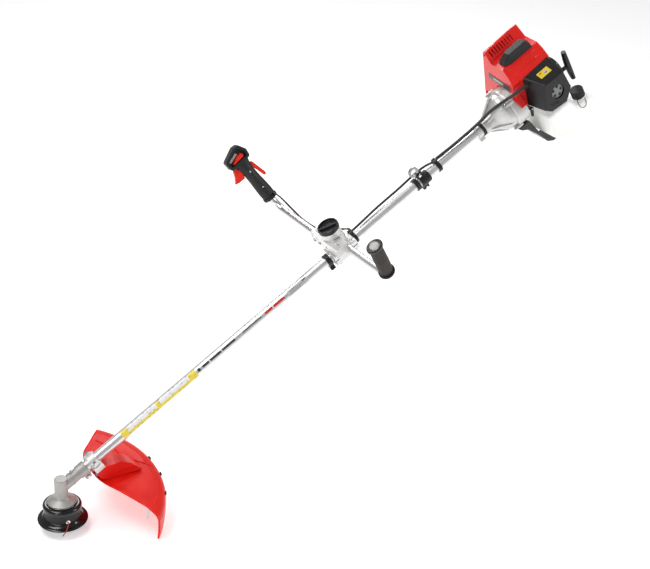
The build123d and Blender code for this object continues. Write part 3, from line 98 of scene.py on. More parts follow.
# ------------------------------------------------------------------ shader building
class Finish:
    """A Principled material in object coordinates, with short calls for its nodes."""

    def __init__(self, name):
        self.material = bpy.data.materials.new(name)
        self.material.use_nodes = True
        self.tree = self.material.node_tree
        self.tree.nodes.clear()
        output = self.node("OutputMaterial")
        self.bsdf = self.node("BsdfPrincipled")
        self.put(output.inputs[0], self.bsdf.outputs[0])
        self.place = self.node("TexCoord").outputs["Object"]

    def node(self, kind):
        return self.tree.nodes.new("ShaderNode" + kind)

    def put(self, socket, value):
        if isinstance(value, bpy.types.NodeSocket):
            self.tree.links.new(value, socket)
        else:
            socket.default_value = value

    def set(self, name, value):
        self.put(self.bsdf.inputs[name], value)

    def math(self, operation, a, b=0.0, clamp=False):
        n = self.node("Math")
        n.operation = operation
        n.use_clamp = clamp
        for socket, value in zip(n.inputs, (a, b, 0.0)):
            self.put(socket, value)
        return n.outputs[0]

    def times(self, a, b):
        return self.math("MULTIPLY", a, b)

    def either(self, a, b):
        return self.math("MAXIMUM", a, b)

    def above(self, value, limit):
        return self.math("GREATER_THAN", value, limit)

    def below(self, value, limit):
        return self.math("LESS_THAN", value, limit)

    def band(self, value, low, high):
        """1 where low < value < high."""
        return self.times(self.above(value, low), self.below(value, high))

    def dot(self, vector, direction):
        n = self.node("VectorMath")
        n.operation = "DOT_PRODUCT"
        self.put(n.inputs[0], vector)
        n.inputs[1].default_value = direction
        return n.outputs["Value"]

    def from_origin(self):
        n = self.node("VectorMath")
        n.operation = "SUBTRACT"
        self.put(n.inputs[0], self.place)
        n.inputs[1].default_value = tuple(ORIGIN)
        return n.outputs[0]

    def noise(self, scale, detail=2.0, rough=0.5, stretch=None, distort=0.0):
        """Noise; stretch is three (axis, scale along it) pairs."""
        vector = self.place
        if stretch:
            combine = self.node("CombineXYZ")
            for socket, (axis, factor) in zip(combine.inputs, stretch):
                self.put(socket, self.times(self.dot(self.place, axis), factor))
            vector = combine.outputs[0]
        n = self.node("TexNoise")
        n.inputs["Scale"].default_value = scale
        n.inputs["Detail"].default_value = detail
        n.inputs["Roughness"].default_value = rough
        n.inputs["Distortion"].default_value = distort
        self.put(n.inputs["Vector"], vector)
        return n.outputs["Fac"]

    def remap(self, value, source, target=(0, 1)):
        n = self.node("MapRange")
        for socket, v in zip(n.inputs, (value, *source, *target)):
            self.put(socket, v)
        return n.outputs[0]

    def mix(self, factor, a, b):
        n = self.node("Mix")
        n.data_type = "RGBA"
        self.put(n.inputs[0], factor)
        for index, colour in ((6, a), (7, b)):      # the colour sockets A and B
            self.put(n.inputs[index], (*colour, 1) if isinstance(colour, tuple) else colour)
        return n.outputs[2]

    def bump(self, height, strength, depth, normal=None):
        n = self.node("Bump")
        n.inputs["Strength"].default_value = strength
        n.inputs["Distance"].default_value = depth
        self.put(n.inputs["Height"], height)
        if normal is not None:
            self.put(n.inputs["Normal"], normal)
        return n.outputs[0]


def plastic(name, colour, rough, grain, bump, coat, tone, dust, specular):
    k = Finish(name)
    broad = k.noise(22, detail=3)
    fine = k.noise(160, detail=4, rough=0.6)
    dark = tuple(c * (1 - tone) for c in colour)
    mottled = k.mix(k.remap(broad, (0.35, 0.65)), dark, colour)
    dusty = tuple(min(1, c * 0.8 + 0.2) for c in colour)
    # faces that look up gather patches of dust, paler and rougher
    normal = k.node("NewGeometry").outputs["Normal"]
    top = k.times(k.either(k.dot(normal, (0, 0, 1)), 0.0),
                  k.remap(fine, (0.45, 0.75), (0, dust)))
    k.set("Base Color", k.mix(top, mottled, dusty))
    k.set("Roughness", k.math("ADD", k.remap(fine, (0.3, 0.7), (rough * 0.82, rough * 1.18)),
                              k.times(top, 2.0), clamp=True))
    k.set("Normal", k.bump(k.noise(grain, rough=0.6), bump, depth=0.00012,
                           normal=k.bump(k.noise(90), strength=0.12, depth=0.0004)))
    k.set("Specular IOR Level", specular)
    k.set("Coat Weight", coat)
    k.set("Coat Roughness", 0.08)
    return k.material


def metal(name, colour, rough, grain, bump, cast, tone, metallic, brush=None):
    k = Finish(name)
    broad = k.noise(30, detail=3)
    base = k.mix(k.remap(broad, (0.3, 0.7)), tuple(c * (1 - tone) for c in colour), colour)
    lines = k.noise(1.0 if brush else grain, detail=3, rough=0.6, stretch=brush)
    spots = k.noise(70, detail=5, rough=0.65)
    stain = tuple(c * 0.72 for c in colour)
    k.set("Base Color", k.mix(k.remap(spots, (0.58, 0.75), (0, 0.25)), base, stain))
    k.set("Metallic", metallic)
    wear = k.math("ADD", k.times(lines, 0.6), k.times(spots, 0.4))
    k.set("Roughness", k.remap(wear, (0.3, 0.7), (rough * 0.75, rough * 1.3)))
    normal = k.bump(lines, bump, depth=0.0001)
    if cast:
        skin = k.noise(420, detail=4, rough=0.7)
        normal = k.bump(skin, cast, depth=0.00035, normal=normal)
    k.set("Normal", normal)
    return k.material


def along_shaft(along, across):
    return [(tuple(SHAFT), along), (tuple(RIGHT), across), (tuple(RISE), across)]


AROUND_Z = [((0, 0, 1), 2500), ((1, 0, 0), 120), ((0, 1, 0), 120)]

# key: material name, colour, roughness, grain scale, grain bump, cast skin bump,
#      tone variation, metallic, [brushing: axes and scales]
METALS = {
    "cast": ("cast_aluminium", (0.66, 0.655, 0.64), 0.42, 900, 0.15, 0.45, 0.16, 0.85),
    "cast_case": ("cast_gear_case", (0.47, 0.455, 0.435), 0.50, 900, 0.15, 0.4, 0.14, 0.75),
    "cast_pale": ("cast_handle_parts", (0.80, 0.79, 0.775), 0.45, 900, 0.15, 0.35, 0.07, 0.7),
    "ring_steel": ("polished_ring", (0.34, 0.34, 0.345), 0.22, 1500, 0.05, 0, 0.2, 1.0),
    "cast_dark": ("cast_shadowed", (0.50, 0.50, 0.49), 0.5, 900, 0.15, 0.5, 0.2, 0.85),
    "steel": ("machined_steel", (0.60, 0.60, 0.61), 0.28, 900, 0.15, 0, 0.12, 1.0, AROUND_Z),
    "shafts": ("ground_steel", (0.58, 0.59, 0.61), 0.22, 900, 0.15, 0, 0.12, 1.0,
               along_shaft(1800, 80)),
    "zinc": ("bright_zinc", (0.72, 0.73, 0.74), 0.2, 1500, 0.08, 0, 0.08, 1.0),
    "chrome": ("bright_chrome", (0.80, 0.81, 0.82), 0.10, 1500, 0.04, 0, 0.05, 1.0),
    "muffler": ("heat_steel", (0.36, 0.33, 0.30), 0.5, 900, 0.15, 0.3, 0.3, 1.0),
    "bar": ("anodised_bar", (0.80, 0.80, 0.80), 0.30, 1200, 0.06, 0, 0.06, 1.0),
}
# key: material name, colour, roughness, grain scale, grain bump, coat,
#      tone variation, dust, specular level
PLASTICS = {
    "black": ("black_satin_plastic", (0.012, 0.012, 0.013), 0.34, 1300, 0.28, 0, 0.3, 0.03, 0.38),
    "black_soft": ("black_grained_plastic", (0.017, 0.017, 0.018),
                   0.50, 900, 0.5, 0, 0.25, 0.04, 0.36),
    "gloss_black": ("black_gloss_plastic", (0.006, 0.006, 0.006),
                    0.13, 2200, 0.05, 0.25, 0.2, 0.01, 0.4),
    "waist": ("dark_waist_plastic", (0.030, 0.031, 0.031), 0.5, 900, 0.5, 0, 0.2, 0.02, 0.3),
    "charcoal": ("charcoal_plastic", (0.020, 0.021, 0.022), 0.30, 1100, 0.3, 0, 0.2, 0.03, 0.5),
    "grey": ("grey_plastic", (0.22, 0.225, 0.23), 0.45, 1200, 0.3, 0, 0.15, 0.05, 0.5),
    "pale": ("pale_plastic", (0.62, 0.60, 0.57), 0.5, 1200, 0.3, 0, 0.15, 0.05, 0.5),
    "red": ("red_gloss_plastic", (0.80, 0.011, 0.006), 0.20, 2000, 0.03, 0.30, 0.14, 0.01, 0.42),
    "red_small": ("red_control_plastic", (0.85, 0.025, 0.008),
                  0.33, 1500, 0.12, 0.1, 0.12, 0.01, 0.35),
    "line": ("red_nylon_line", (0.55, 0.02, 0.02), 0.35, 900, 0.2, 0, 0.3, 0.05, 0.5),
    "rubber": ("dark_rubber", (0.030, 0.024, 0.021), 0.62, 700, 0.7, 0, 0.3, 0.05, 0.3),
    "cable": ("cable_sheath", (0.016, 0.016, 0.017), 0.45, 1500, 0.2, 0, 0.3, 0.05, 0.5),
    "yellow": ("yellow_label", (0.86, 0.62, 0.03), 0.35, 1800, 0.05, 0, 0.05, 0.0, 0.5),
    "label_dark": ("dark_label_film", (0.035, 0.035, 0.04),
                   0.25, 1800, 0.05, 0.3, 0.2, 0.05, 0.5),
    "rope": ("braided_rope", (0.06, 0.058, 0.055), 0.8, 2600, 1.0, 0, 0.5, 0.05, 0.5),
    # kept in the set, though no piece wears it
    "hose": ("clear_hose", (0.50, 0.42, 0.22), 0.3, 1500, 0.1, 0, 0.1, 0.05, 0.5),
}


def guard_finish():
    """Red plastic with a paler band along the guard's rim, a painted highlight."""
    k = Finish("guard_red_plastic")
    place = k.from_origin()
    radius = k.math("SQRT", k.math("ADD", k.math("POWER", k.dot(place, (1, 0, 0)), 2.0),
                                   k.math("POWER", k.dot(place, (0, 1, 0)), 2.0)))
    flow = k.noise(1.0, detail=4, rough=0.6, distort=0.6,
                   stretch=[((1, 0, 0), 9), ((0, 1, 0), 9), ((0, 0, 1), 60)])
    colour = k.mix(k.remap(flow, (0.35, 0.7)), (0.72, 0.006, 0.003), (0.84, 0.014, 0.006))
    # painted highlight: towards the rim the red is mixed with a paler red
    rim = k.remap(radius, (0.224, 0.262), (0, 0.16))
    k.set("Base Color", k.mix(rim, colour, (0.86, 0.07, 0.045)))
    k.set("Roughness", k.remap(k.noise(120, detail=4), (0.3, 0.7), (0.34, 0.46)))
    k.set("Coat Weight", 0.05)
    k.set("Coat Roughness", 0.06)
    k.set("Specular IOR Level", 0.2)
    grain = k.bump(k.noise(1600), strength=0.05, depth=0.0001)
    k.set("Normal", k.bump(flow, strength=0.15, depth=0.0006, normal=grain))
    return k.material


LABEL_YELLOW = (0.88, 0.70, 0.07)
GAP, INK = (0.80, 0.80, 0.80), (0.1, 0.1, 0.1)
# start and end along the shaft, start and end across the printed face, colour
TUBE_MARKS = [
    (458, 466, -4.5, 4.5, (0.03, 0.03, 0.03)), (474, 586, -2.8, 3.0, (0.04, 0.04, 0.04)),
    (496, 500, -6, 6, GAP), (538, 541, -6, 6, GAP),
    (612, 677, -1.2, 1.6, (0.06, 0.06, 0.06)), (690, 758, -3.2, 3.4, (0.62, 0.03, 0.02)),
    (716, 719, -5, 5, GAP), (770, 838, -8.5, 7.0, (0.50, 0.51, 0.52)),
    (776, 812, -5.5, -4.4, INK), (776, 824, -1.0, 0.1, INK),
    (776, 800, 3.0, 4.2, INK), (822, 832, 1.5, 5.5, INK)]


def tube_finish():
    """Satin anodised tube, with a label and plain marks on its upper left side."""
    k = Finish("anodised_tube_with_labels")
    place = k.from_origin()
    along = k.times(k.dot(place, tuple(SHAFT)), 1000.0)
    right = k.times(k.dot(place, tuple(RIGHT)), 1000.0)
    rise = k.times(k.dot(place, tuple(RISE)), 1000.0)
    # the section turned so that one axis leaves through the middle of the printed side
    across = k.math("ADD", k.times(right, 0.649), k.times(rise, 0.761))
    outward = k.math("ADD", k.times(right, -0.761), k.times(rise, 0.649))
    printed = k.above(outward, 1.0)

    def area(start, end, low, high):
        return k.times(printed, k.times(k.band(along, start, end), k.band(across, low, high)))

    broad = k.noise(25, detail=3)
    colour = k.mix(k.remap(broad, (0.3, 0.7)), (0.74, 0.74, 0.735), (0.84, 0.84, 0.84))
    in_label = area(201.0, 453.0, -11.0, 10.0)
    yellow_ends = k.either(k.below(along, 222.0),
                           k.either(k.above(along, 428.0), k.band(along, 318.0, 330.0)))
    label = k.mix(k.either(k.below(across, -4.0), yellow_ends), (0.88, 0.88, 0.86), LABEL_YELLOW)
    # brick cells, thinned by noise, stand for rows of print
    brick = k.node("TexBrick")
    combine = k.node("CombineXYZ")
    k.put(combine.inputs[0], along)
    k.put(combine.inputs[1], across)
    k.put(brick.inputs["Vector"], combine.outputs[0])
    for name, value in (("Scale", 1.0), ("Brick Width", 13.0), ("Row Height", 6.0),
                        ("Mortar Size", 1.9), ("Mortar Smooth", 0.0)):
        brick.inputs[name].default_value = value
    brick.offset = 0.37
    print_cells = k.times(k.math("SUBTRACT", 1.0, brick.outputs["Fac"]),
                          k.above(k.noise(95, detail=1), 0.53))
    label = k.mix(k.times(print_cells, 0.55), label, (0.09, 0.09, 0.10))
    colour = k.mix(in_label, colour, label)

    marks = in_label
    mark_strength = 1.0
    for *limits, mark_colour in TUBE_MARKS:
        mark = area(*limits)
        colour = k.mix(k.times(mark, mark_strength), colour, mark_colour)
        marks = k.either(marks, mark)
    k.set("Base Color", colour)
    k.set("Metallic", k.times(k.math("SUBTRACT", 1.0, marks), 0.82))
    brushed = k.noise(1.0, detail=3, rough=0.6, stretch=along_shaft(30, 1500))
    k.set("Roughness", k.remap(brushed, (0.3, 0.7), (0.24, 0.38)))
    k.set("Normal", k.bump(brushed, strength=0.08, depth=0.0001))
    return k.material


def tank_finish():
    """Translucent white, a little darker and yellower towards the bottom, with a faint painted
    glow.
    """
    k = Finish("translucent_tank")
    height = k.times(k.dot(k.from_origin(), (0, 0, 1)), 1000.0)
    colour = k.mix(k.remap(height, (700, 790)), (0.80, 0.80, 0.76), (0.93, 0.93, 0.92))
    cloud = k.remap(k.noise(30, detail=3), (0.35, 0.65), (0, 0.2))
    k.set("Base Color", k.mix(cloud, colour, (0.84, 0.84, 0.80)))
    k.set("Roughness", k.remap(k.noise(200, detail=3), (0.3, 0.7), (0.28, 0.42)))
    k.set("Subsurface Weight", 0.6)
    k.set("Subsurface Radius", (0.02, 0.02, 0.018))
    k.set("Subsurface Scale", 0.6)
    # painted light: a faint glow that lifts the tank towards white
    k.set("Emission Color", (1.0, 1.0, 0.98, 1.0))
    k.set("Emission Strength", 0.16)
    k.set("Normal", k.bump(k.noise(600, detail=3), strength=0.12, depth=0.0002))
    return k.material


def floor_finish():
    k = Finish("floor_paper")
    k.set("Base Color", k.mix(k.remap(k.noise(2, detail=3), (0.3, 0.7)),
                              (0.90, 0.90, 0.90), (0.92, 0.92, 0.92)))
    k.set("Roughness", k.remap(k.noise(80, detail=3), (0.3, 0.7), (0.85, 0.95)))
    k.set("Specular IOR Level", 0.1)
    k.set("Emission Color", (1, 1, 1, 1))
    k.set("Emission Strength", k.remap(k.noise(3), (0.3, 0.7), (0.44, 0.45)))
    k.set("Normal", k.bump(k.noise(900), strength=0.05, depth=0.0003))
    return k.material


FINISHES = {key: metal(*row) for key, row in METALS.items()}
FINISHES.update({key: plastic(*row) for key, row in PLASTICS.items()})
FINISHES["guard"] = guard_finish()
FINISHES["tube"] = tube_finish()
FINISHES["tank"] = tank_finish()

# ------------------------------------------------------------------ finishes of the CAD pieces
# finish: the pieces that wear it; any piece not listed is "cast"
WORN_BY = {
    "black_soft": "bump_knob throttle_housing plug_cover fuel_cap",
    "grey": "line_spool shaft_bushes cover_knob starter_reel",
    "zinc": "bump_spring head_and_housing_bolts clamp_bolts spark_plug",
    "gloss_black": "head_shells",
    "chrome": "line_eyelets",
    "line": "line_ends",
    "steel": "drive_flange output_spindle bevel_gear line_cutter clutch_shoes",
    "shafts": "bevel_pinion ball_bearings drive_shaft clutch_drum crankshaft piston",
    "cast_case": "gear_case",
    "tube": "shaft_tube",
    "cast_pale": "guard_clamp handle_base handle_cup",
    "guard": "guard_shell",
    "black": "tube_collars handle_knob hanger_clamp cable_clips air_cleaner_cover choke_lever "
             "starter_housing starter_grip",
    "bar": "handle_tubes",
    "rubber": "left_grip isolator_ring",
    "red_small": "throttle_trigger throttle_lock stop_switch",
    "ring_steel": "hanger_ring",
    "cable": "throttle_cable",
    "cast_dark": "cylinder carburettor",
    "red": "engine_cover muffler_guard",
    "muffler": "muffler",
    "rope": "starter_rope",
    "tank": "fuel_tank",
    "charcoal": "tank_guard",
}
# width of the rounded edges in millimetres: the pieces that have it
EDGE_WIDTHS = {
    0: "throttle_cable bump_spring starter_rope line_ends fuel_tank",
    0.5: "guard_shell head_shells",
    0.6: "left_grip",
    0.7: "muffler_guard starter_housing",
    0.8: "tube_collars cable_clips bump_knob",
    0.9: "hanger_ring clutch_housing crankcase hanger_clamp throttle_trigger throttle_lock",
    1.0: "tank_guard guard_clamp handle_knob",
    1.2: "engine_cover gear_case starter_grip",
    1.5: "handle_base handle_cup",
    1.6: "air_cleaner_cover plug_cover",
    1.8: "throttle_housing",
}
OTHER_EDGES = 0.35


def by_piece(table):
    return {piece: value for value, pieces in table.items() for piece in pieces.split()}


finish_of = by_piece(WORN_BY)
edge_of = by_piece(EDGE_WIDTHS)
for name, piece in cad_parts.items():
    piece.data.materials.clear()
    piece.data.materials.append(FINISHES[finish_of.get(name, "cast")])
    for polygon in piece.data.polygons:
        polygon.use_smooth = True
    weld = piece.modifiers.new("join", "WELD")
    weld.merge_threshold = 0.00002
    width = edge_of.get(name, OTHER_EDGES)
    if width:
        bevel = piece.modifiers.new("edges", "BEVEL")
        bevel.width = width / 1000
        bevel.segments = 2
        bevel.limit_method = "ANGLE"
        bevel.angle_limit = math.radians(34)
        bevel.use_clamp_overlap = True
        bevel.miter_outer = "MITER_ARC"
        bevel.harden_normals = False
    normals = piece.modifiers.new("normals", "WEIGHTED_NORMAL")
    normals.weight = 60
    normals.keep_sharp = False


def second_finish(piece_name, finish, test):
    """Faces of a CAD piece whose middle passes the test take a second finish."""
    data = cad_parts[piece_name].data
    data.materials.append(FINISHES[finish])
    slot = len(data.materials) - 1
    for polygon in data.polygons:
        if test(polygon.center):
            polygon.material_index = slot


def up_left_grip(point):
    return (point - LEFT_FOOT).dot(LEFT_GRIP)


def off_left_grip(point):
    return ((point - LEFT_FOOT) - LEFT_GRIP * up_left_grip(point)).length


GRIP_CORE = 0.0125      # radius that parts the left grip's core from its outer layer
second_finish("head_shells", "waist",
              lambda p: 0.031 < p.z < 0.0512 and math.hypot(p.x, p.y) > 0.02)
second_finish("tube_collars", "cast", lambda p: (p - ORIGIN).dot(SHAFT) * 1000 > 1400)
second_finish("left_grip", "pale",
              lambda p: up_left_grip(p) > 0.1745 and off_left_grip(p) < GRIP_CORE)
second_finish("left_grip", "black",
              lambda p: up_left_grip(p) > 0.1675 and off_left_grip(p) > GRIP_CORE)


# ------------------------------------------------------------------ mesh builders
def mesh(name, verts, faces, finish, body="frame", bevel=0.0, sharp=35):
    """A smooth mesh that rides on body; bevel rounds edges over sharp degrees."""
    data = bpy.data.meshes.new(name)
    data.from_pydata([tuple(v) for v in verts], [], faces)
    data.validate()
    data.update()
    obj = bpy.data.objects.new(name, data)
    bpy.context.scene.collection.objects.link(obj)
    data.materials.append(FINISHES[finish])
    for polygon in data.polygons:
        polygon.use_smooth = True
    if bevel:
        edges = obj.modifiers.new("edges", "BEVEL")
        edges.width = bevel
        edges.segments = 2
        edges.limit_method = "ANGLE"
        edges.angle_limit = math.radians(sharp)
        obj.modifiers.new("normals", "WEIGHTED_NORMAL").keep_sharp = False
    if body:
        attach(obj, body)
    return obj


def joined(rings, lid=True):
    """Vertices and faces of closed rings of equal length, joined in turn and capped."""
    n = len(rings[0])
    faces = []
    for i in range(len(rings) - 1):
        for j in range(n):
            a, b = i * n + j, i * n + (j + 1) % n
            faces.append((a, b, b + n, a + n))
    faces.append(tuple(range(n - 1, -1, -1)))
    if lid:
        faces.append(tuple(range((len(rings) - 1) * n, len(rings) * n)))
    return [v for ring in rings for v in ring], faces


def smooth_path(points, steps):
    """Catmull-Rom curve through the points."""
    points = [Vector(p) for p in points]
    path = []
    for i in range(len(points) - 1):
        p0 = points[i - 1] if i else points[0] * 2 - points[1]
        p1, p2 = points[i], points[i + 1]
        p3 = points[i + 2] if i + 2 < len(points) else points[-1] * 2 - points[-2]
        for j in range(steps):
            s = j / steps
            path.append(0.5 * ((2 * p1) + (p2 - p0) * s + (2 * p0 - 5 * p1 + 4 * p2 - p3) * s * s
                               + (3 * p1 - p0 - 3 * p2 + p3) * s ** 3))
    path.append(points[-1])
    return path


def sweep(name, points, radius, finish, body="frame", sides=14, steps=10, ribs=0.0, pitch=3.0):
    """A round bar along a curve; ribs is their height, pitch their spacing in mm."""
    path = smooth_path(points, steps)
    if ribs:        # four stations to a rib
        fine = []
        for a, b in zip(path, path[1:]):
            n = max(1, int((b - a).length * 1000 / (pitch / 4)))
            fine += [a.lerp(b, i / n) for i in range(n)]
        path = fine + [path[-1]]
    rings, travelled = [], 0.0
    normal = (path[1] - path[0]).normalized().orthogonal().normalized()
    for i, p in enumerate(path):
        tangent = (path[min(i + 1, len(path) - 1)] - path[max(i - 1, 0)]).normalized()
        normal = (normal - tangent * normal.dot(tangent)).normalized()
        side = tangent.cross(normal)
        if i:
            travelled += (p - path[i - 1]).length * 1000
        r = radius + ribs * (0.5 + 0.5 * math.cos(2 * math.pi * travelled / pitch))
        angles = [2 * math.pi * s / sides for s in range(sides)]
        rings.append([p + normal * math.cos(a) * r + side * math.sin(a) * r for a in angles])
    return mesh(name, *joined(rings), finish, body)


def turned(origin, axis, profile, sides, scale):
    """Rings of a turned part; scale(row, angle, height) multiplies the radius."""
    axis = Vector(axis).normalized()
    a = axis.orthogonal().normalized()
    b = axis.cross(a)
    rings = []
    for row, (radius, height) in enumerate(profile):
        ring = []
        for s in range(sides):
            angle = 2 * math.pi * s / sides
            r = radius * scale(row, angle, height)
            ring.append(Vector(origin) + (a * math.cos(angle) + b * math.sin(angle)) * r / 1000
                        + axis * height / 1000)
        rings.append(ring)
    return rings


# radius and height of a pan head above its seat, as parts of the head's radius
SCREW_HEAD = [(1, 0.35), (0.9, 0.52), (0.72, 0.6), (0.52, 0.6), (0.48, 0.56), (0.48, 0.15),
              (0.02, 0.1)]
SOCKET_ROWS = (4, 5, 6)
SCREW_SUNK = 0.6


def screw(name, place, axis, radius, finish="zinc", body="frame"):
    """Pan head with a six-sided socket."""
    def socket_scale(row, angle, height):
        if row not in SOCKET_ROWS:
            return 1.0
        sixth = math.radians(60)
        return 1 / math.cos((angle + sixth / 2) % sixth - sixth / 2)

    profile = [(radius, -SCREW_SUNK)] + [(radius * r, radius * h) for r, h in SCREW_HEAD]
    rings = turned(place, axis, profile, 24, socket_scale)
    return mesh(name, *joined(rings, lid=False), finish, body, bevel=0.00012, sharp=40)


def plate(name, centre, x, y, size, finish, body="frame", corner=2.0):
    """Round-cornered plate; size is its width, height and thickness."""
    x, y = Vector(x).normalized(), Vector(y).normalized()
    y = (y - x * y.dot(x)).normalized()
    z = x.cross(y)
    width, height, thick = size
    u, v = width / 2 - corner, height / 2 - corner
    outline = []
    for cx, cy, start in ((u, v, 0), (-u, v, 90), (-u, -v, 180), (u, -v, 270)):
        for i in range(7):
            a = math.radians(start + 90 * i / 6)
            outline.append((cx + corner * math.cos(a), cy + corner * math.sin(a)))
    rings = [[Vector(centre) + (x * p * k + y * q * k + z * level) / 1000 for p, q in outline]
             for level, k in ((0, 1.0), (thick * 0.75, 1.0), (thick, 0.985))]
    return mesh(name, *joined(rings), finish, body, bevel=0.0001, sharp=50)


def first_hit(piece_name, start, direction):
    """First point of a CAD piece met from start, and its outward normal."""
    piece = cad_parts[piece_name]
    direction = Vector(direction).normalized()
    bpy.context.evaluated_depsgraph_get()       # ray_cast needs the pieces evaluated
    inverse = piece.matrix_world.inverted()
    hit, place, normal, _ = piece.ray_cast(
        inverse @ Vector(start), inverse.to_3x3() @ direction, distance=2.0)
    if not hit:
        raise RuntimeError("nothing met on " + piece_name)
    normal = (piece.matrix_world.to_3x3() @ normal).normalized()
    if normal.dot(direction) > 0:
        normal = -normal
    return piece.matrix_world @ place, normal


def seat_screw(name, piece_name, start, direction, radius, body):
    # guards against a ray that misses the piece: that screw is left out
    try:
        place, normal = first_hit(piece_name, start, direction)
    except RuntimeError:
        return
    screw(name, place, normal, radius, body=body)


# ------------------------------------------------------------------ cables, rope and spring
# two free cables from the throttle grip to the clip on the tube:
# sideways offset, rise offset, radius in metres
for i, (dy, dh, radius) in enumerate(((0, 0, 0.0021), (4.5, -3.0, 0.0017))):
    points = [GRIP_FOOT + GRIP * 0.052 + GRIP_BACK * 0.009 + RIGHT * dy * 0.0004]
    points += run_of([
        (953 + dy * 0.3, 243, 84 + dh), (957 + dy * 0.4, 204 - dy, 42 + dh),
        (958, 154 - dy, 27 + dh), (962, 100, 25 + dh * 0.6), (975, 74, 22 + dh * 0.4),
        (1000 + dy, 44, 16 + dh * 0.3), (1014 - dy * 0.5, 24, 17),
        (1013, 10 + dy * 0.3, 20.5), (1003, 4 + dy * 0.3, 20.5)])
    cable = sweep("grip_cable_%d" % (i + 1), points, radius, "cable", None, sides=12, steps=12)
    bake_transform(cable)


def on_rope(along):
    return at(along, -20, -10)


# starter rope: drawn out of the housing with the grip
rope = sweep("pull_rope", [on_rope(along) for along in (1743, 1755, 1767, 1778)],
             0.0018, "rope", None, sides=12, steps=14)
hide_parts("starter_rope")
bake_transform(rope)

# feed spring, its lower end at the bump knob
COIL_FOOT, COIL_TOP, COIL_RADIUS = 0.0130, 0.0502, 0.0062
TURN_STEPS = 20
COIL_STEPS = 6 * TURN_STEPS
coil = []
for i in range(COIL_STEPS + 1):
    a = 2 * math.pi * i / TURN_STEPS
    coil.append(Vector((COIL_RADIUS * math.cos(a), COIL_RADIUS * math.sin(a),
                        COIL_FOOT + (COIL_TOP - COIL_FOOT) * i / COIL_STEPS)))
spring = sweep("feed_spring", coil, 0.0007, "zinc", None, sides=8, steps=1)
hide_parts("bump_spring")
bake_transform(spring)

# ------------------------------------------------------------------ plates without lettering
# on top of the air cleaner: name, along, right, size, finish, corner radius, lift off the skin
for name, along, right, size, finish, corner, lift in [
        ("caution_plate", 1678.5, -76, (38, 22, 0.5), "yellow", 1.5, 0.05),
        ("caution_plate_field", 1683, -77, (13, 9, 0.45), "pale", 1.0, 0.5),
        ("caution_plate_bar_1", 1669, -72, (8, 2.4, 0.4), "label_dark", 0.4, 0.55),
        ("caution_plate_bar_2", 1683, -79, (7, 2.4, 0.4), "label_dark", 0.4, 0.9)]:
    place, normal = first_hit("air_cleaner_cover", at(along, right, 130), -RISE)
    x = (SHAFT - normal * normal.dot(SHAFT)).normalized()
    plate(name, place + normal * lift / 1000, x, normal.cross(x), size, finish, corner=corner)

# strip and bar facing down the shaft, at the front of the engine
into_engine = (SHAFT - RISE * 0.17).normalized()
STRIP_TILT = math.radians(9.6)
strip_x = RIGHT * math.cos(STRIP_TILT) + RISE * math.sin(STRIP_TILT)
strip_x = (strip_x - into_engine * strip_x.dot(into_engine)).normalized()
strip_y = strip_x.cross(into_engine)
plate("name_strip", at(1590.2, 14, 74), strip_x, strip_y, (91, 17, 0.8), "label_dark")
plate("name_strip_bar", at(1589.6, 18, 75), strip_x, strip_y, (40, 4.5, 0.6), "pale", corner=1.2)

# ribbed pale strip beside the switch, on the left face of the right grip;
# its ends are (back, up the grip) from the grip's middle
(back0, up0), (back1, up1) = (-26.0, 2.5), (4.0, 10.5)
switch_x = (GRIP_BACK * (back1 - back0) + GRIP * (up1 - up0)).normalized()
switch_y = (-GRIP_OUT).cross(switch_x)


def switch_place(part, inward):
    back, up = back0 + (back1 - back0) * part, up0 + (up1 - up0) * part
    return GRIP_MIDDLE + (GRIP_BACK * back + GRIP * up - GRIP_OUT * inward) / 1000


plate("switch_strip", switch_place(0.5, 2.0), switch_x, switch_y, (31, 6.5, 1.1), "pale",
      "handlebar", corner=1.2)
for i in range(9):
    plate("switch_rib_%d" % i, switch_place((i + 0.7) / 9.4, 3.0), switch_x, switch_y,
          (1.5, 5.6, 1.0), "pale", "handlebar", corner=0.5)

# ------------------------------------------------------------------ screws
# piece, start of the ray, its direction, head radius, body
SCREWS = [("throttle_housing", GRIP_FOOT + GRIP * up + GRIP_OUT * (0.06 * side),
           GRIP_OUT * -side, 2.4, "handlebar") for side in (-1, 1) for up in (0.078, 0.135)]
SCREWS += [("engine_cover", at(1550, -34, 52), SHAFT, 3.0, "frame"),
           ("muffler_guard", at(1640, 150, 100), -RIGHT, 3.2, "frame"),
           ("muffler_guard", at(1700, 150, 12), -RIGHT, 3.2, "frame"),
           ("muffler_guard", at(1620, 150, 12), -RIGHT, 3.2, "frame")]
for i, row in enumerate(SCREWS):
    seat_screw("screw_%02d" % i, *row)
STARTER_SCREW_CIRCLE = 42.6
for i in range(4):
    a = math.radians(45 + 90 * i)
    start = at(1800, STARTER_SCREW_CIRCLE * math.cos(a), STARTER_SCREW_CIRCLE * math.sin(a))
    place, _ = first_hit("starter_housing", start, -SHAFT)
    screw("starter_screw_%d" % i, place, SHAFT, 2.6)

# ------------------------------------------------------------------ sleeve, skirt, bands, ridges
# sheath over the cable where it nears the engine
sweep("loom_sleeve", run_of([
    (1322, 3.5, 21.4), (1350, 2, 21.4), (1384, 0, 21.6), (1441, -6, 26.8), (1481, -10, 32.2),
    (1516, -20, 44.4), (1551, -38, 56.2), (1582, -53, 63.1), (1606, -60, 66.2),
    (1624, -63, 65.4)]), 0.0043, "cable", steps=14, ribs=0.0003, pitch=2.6)

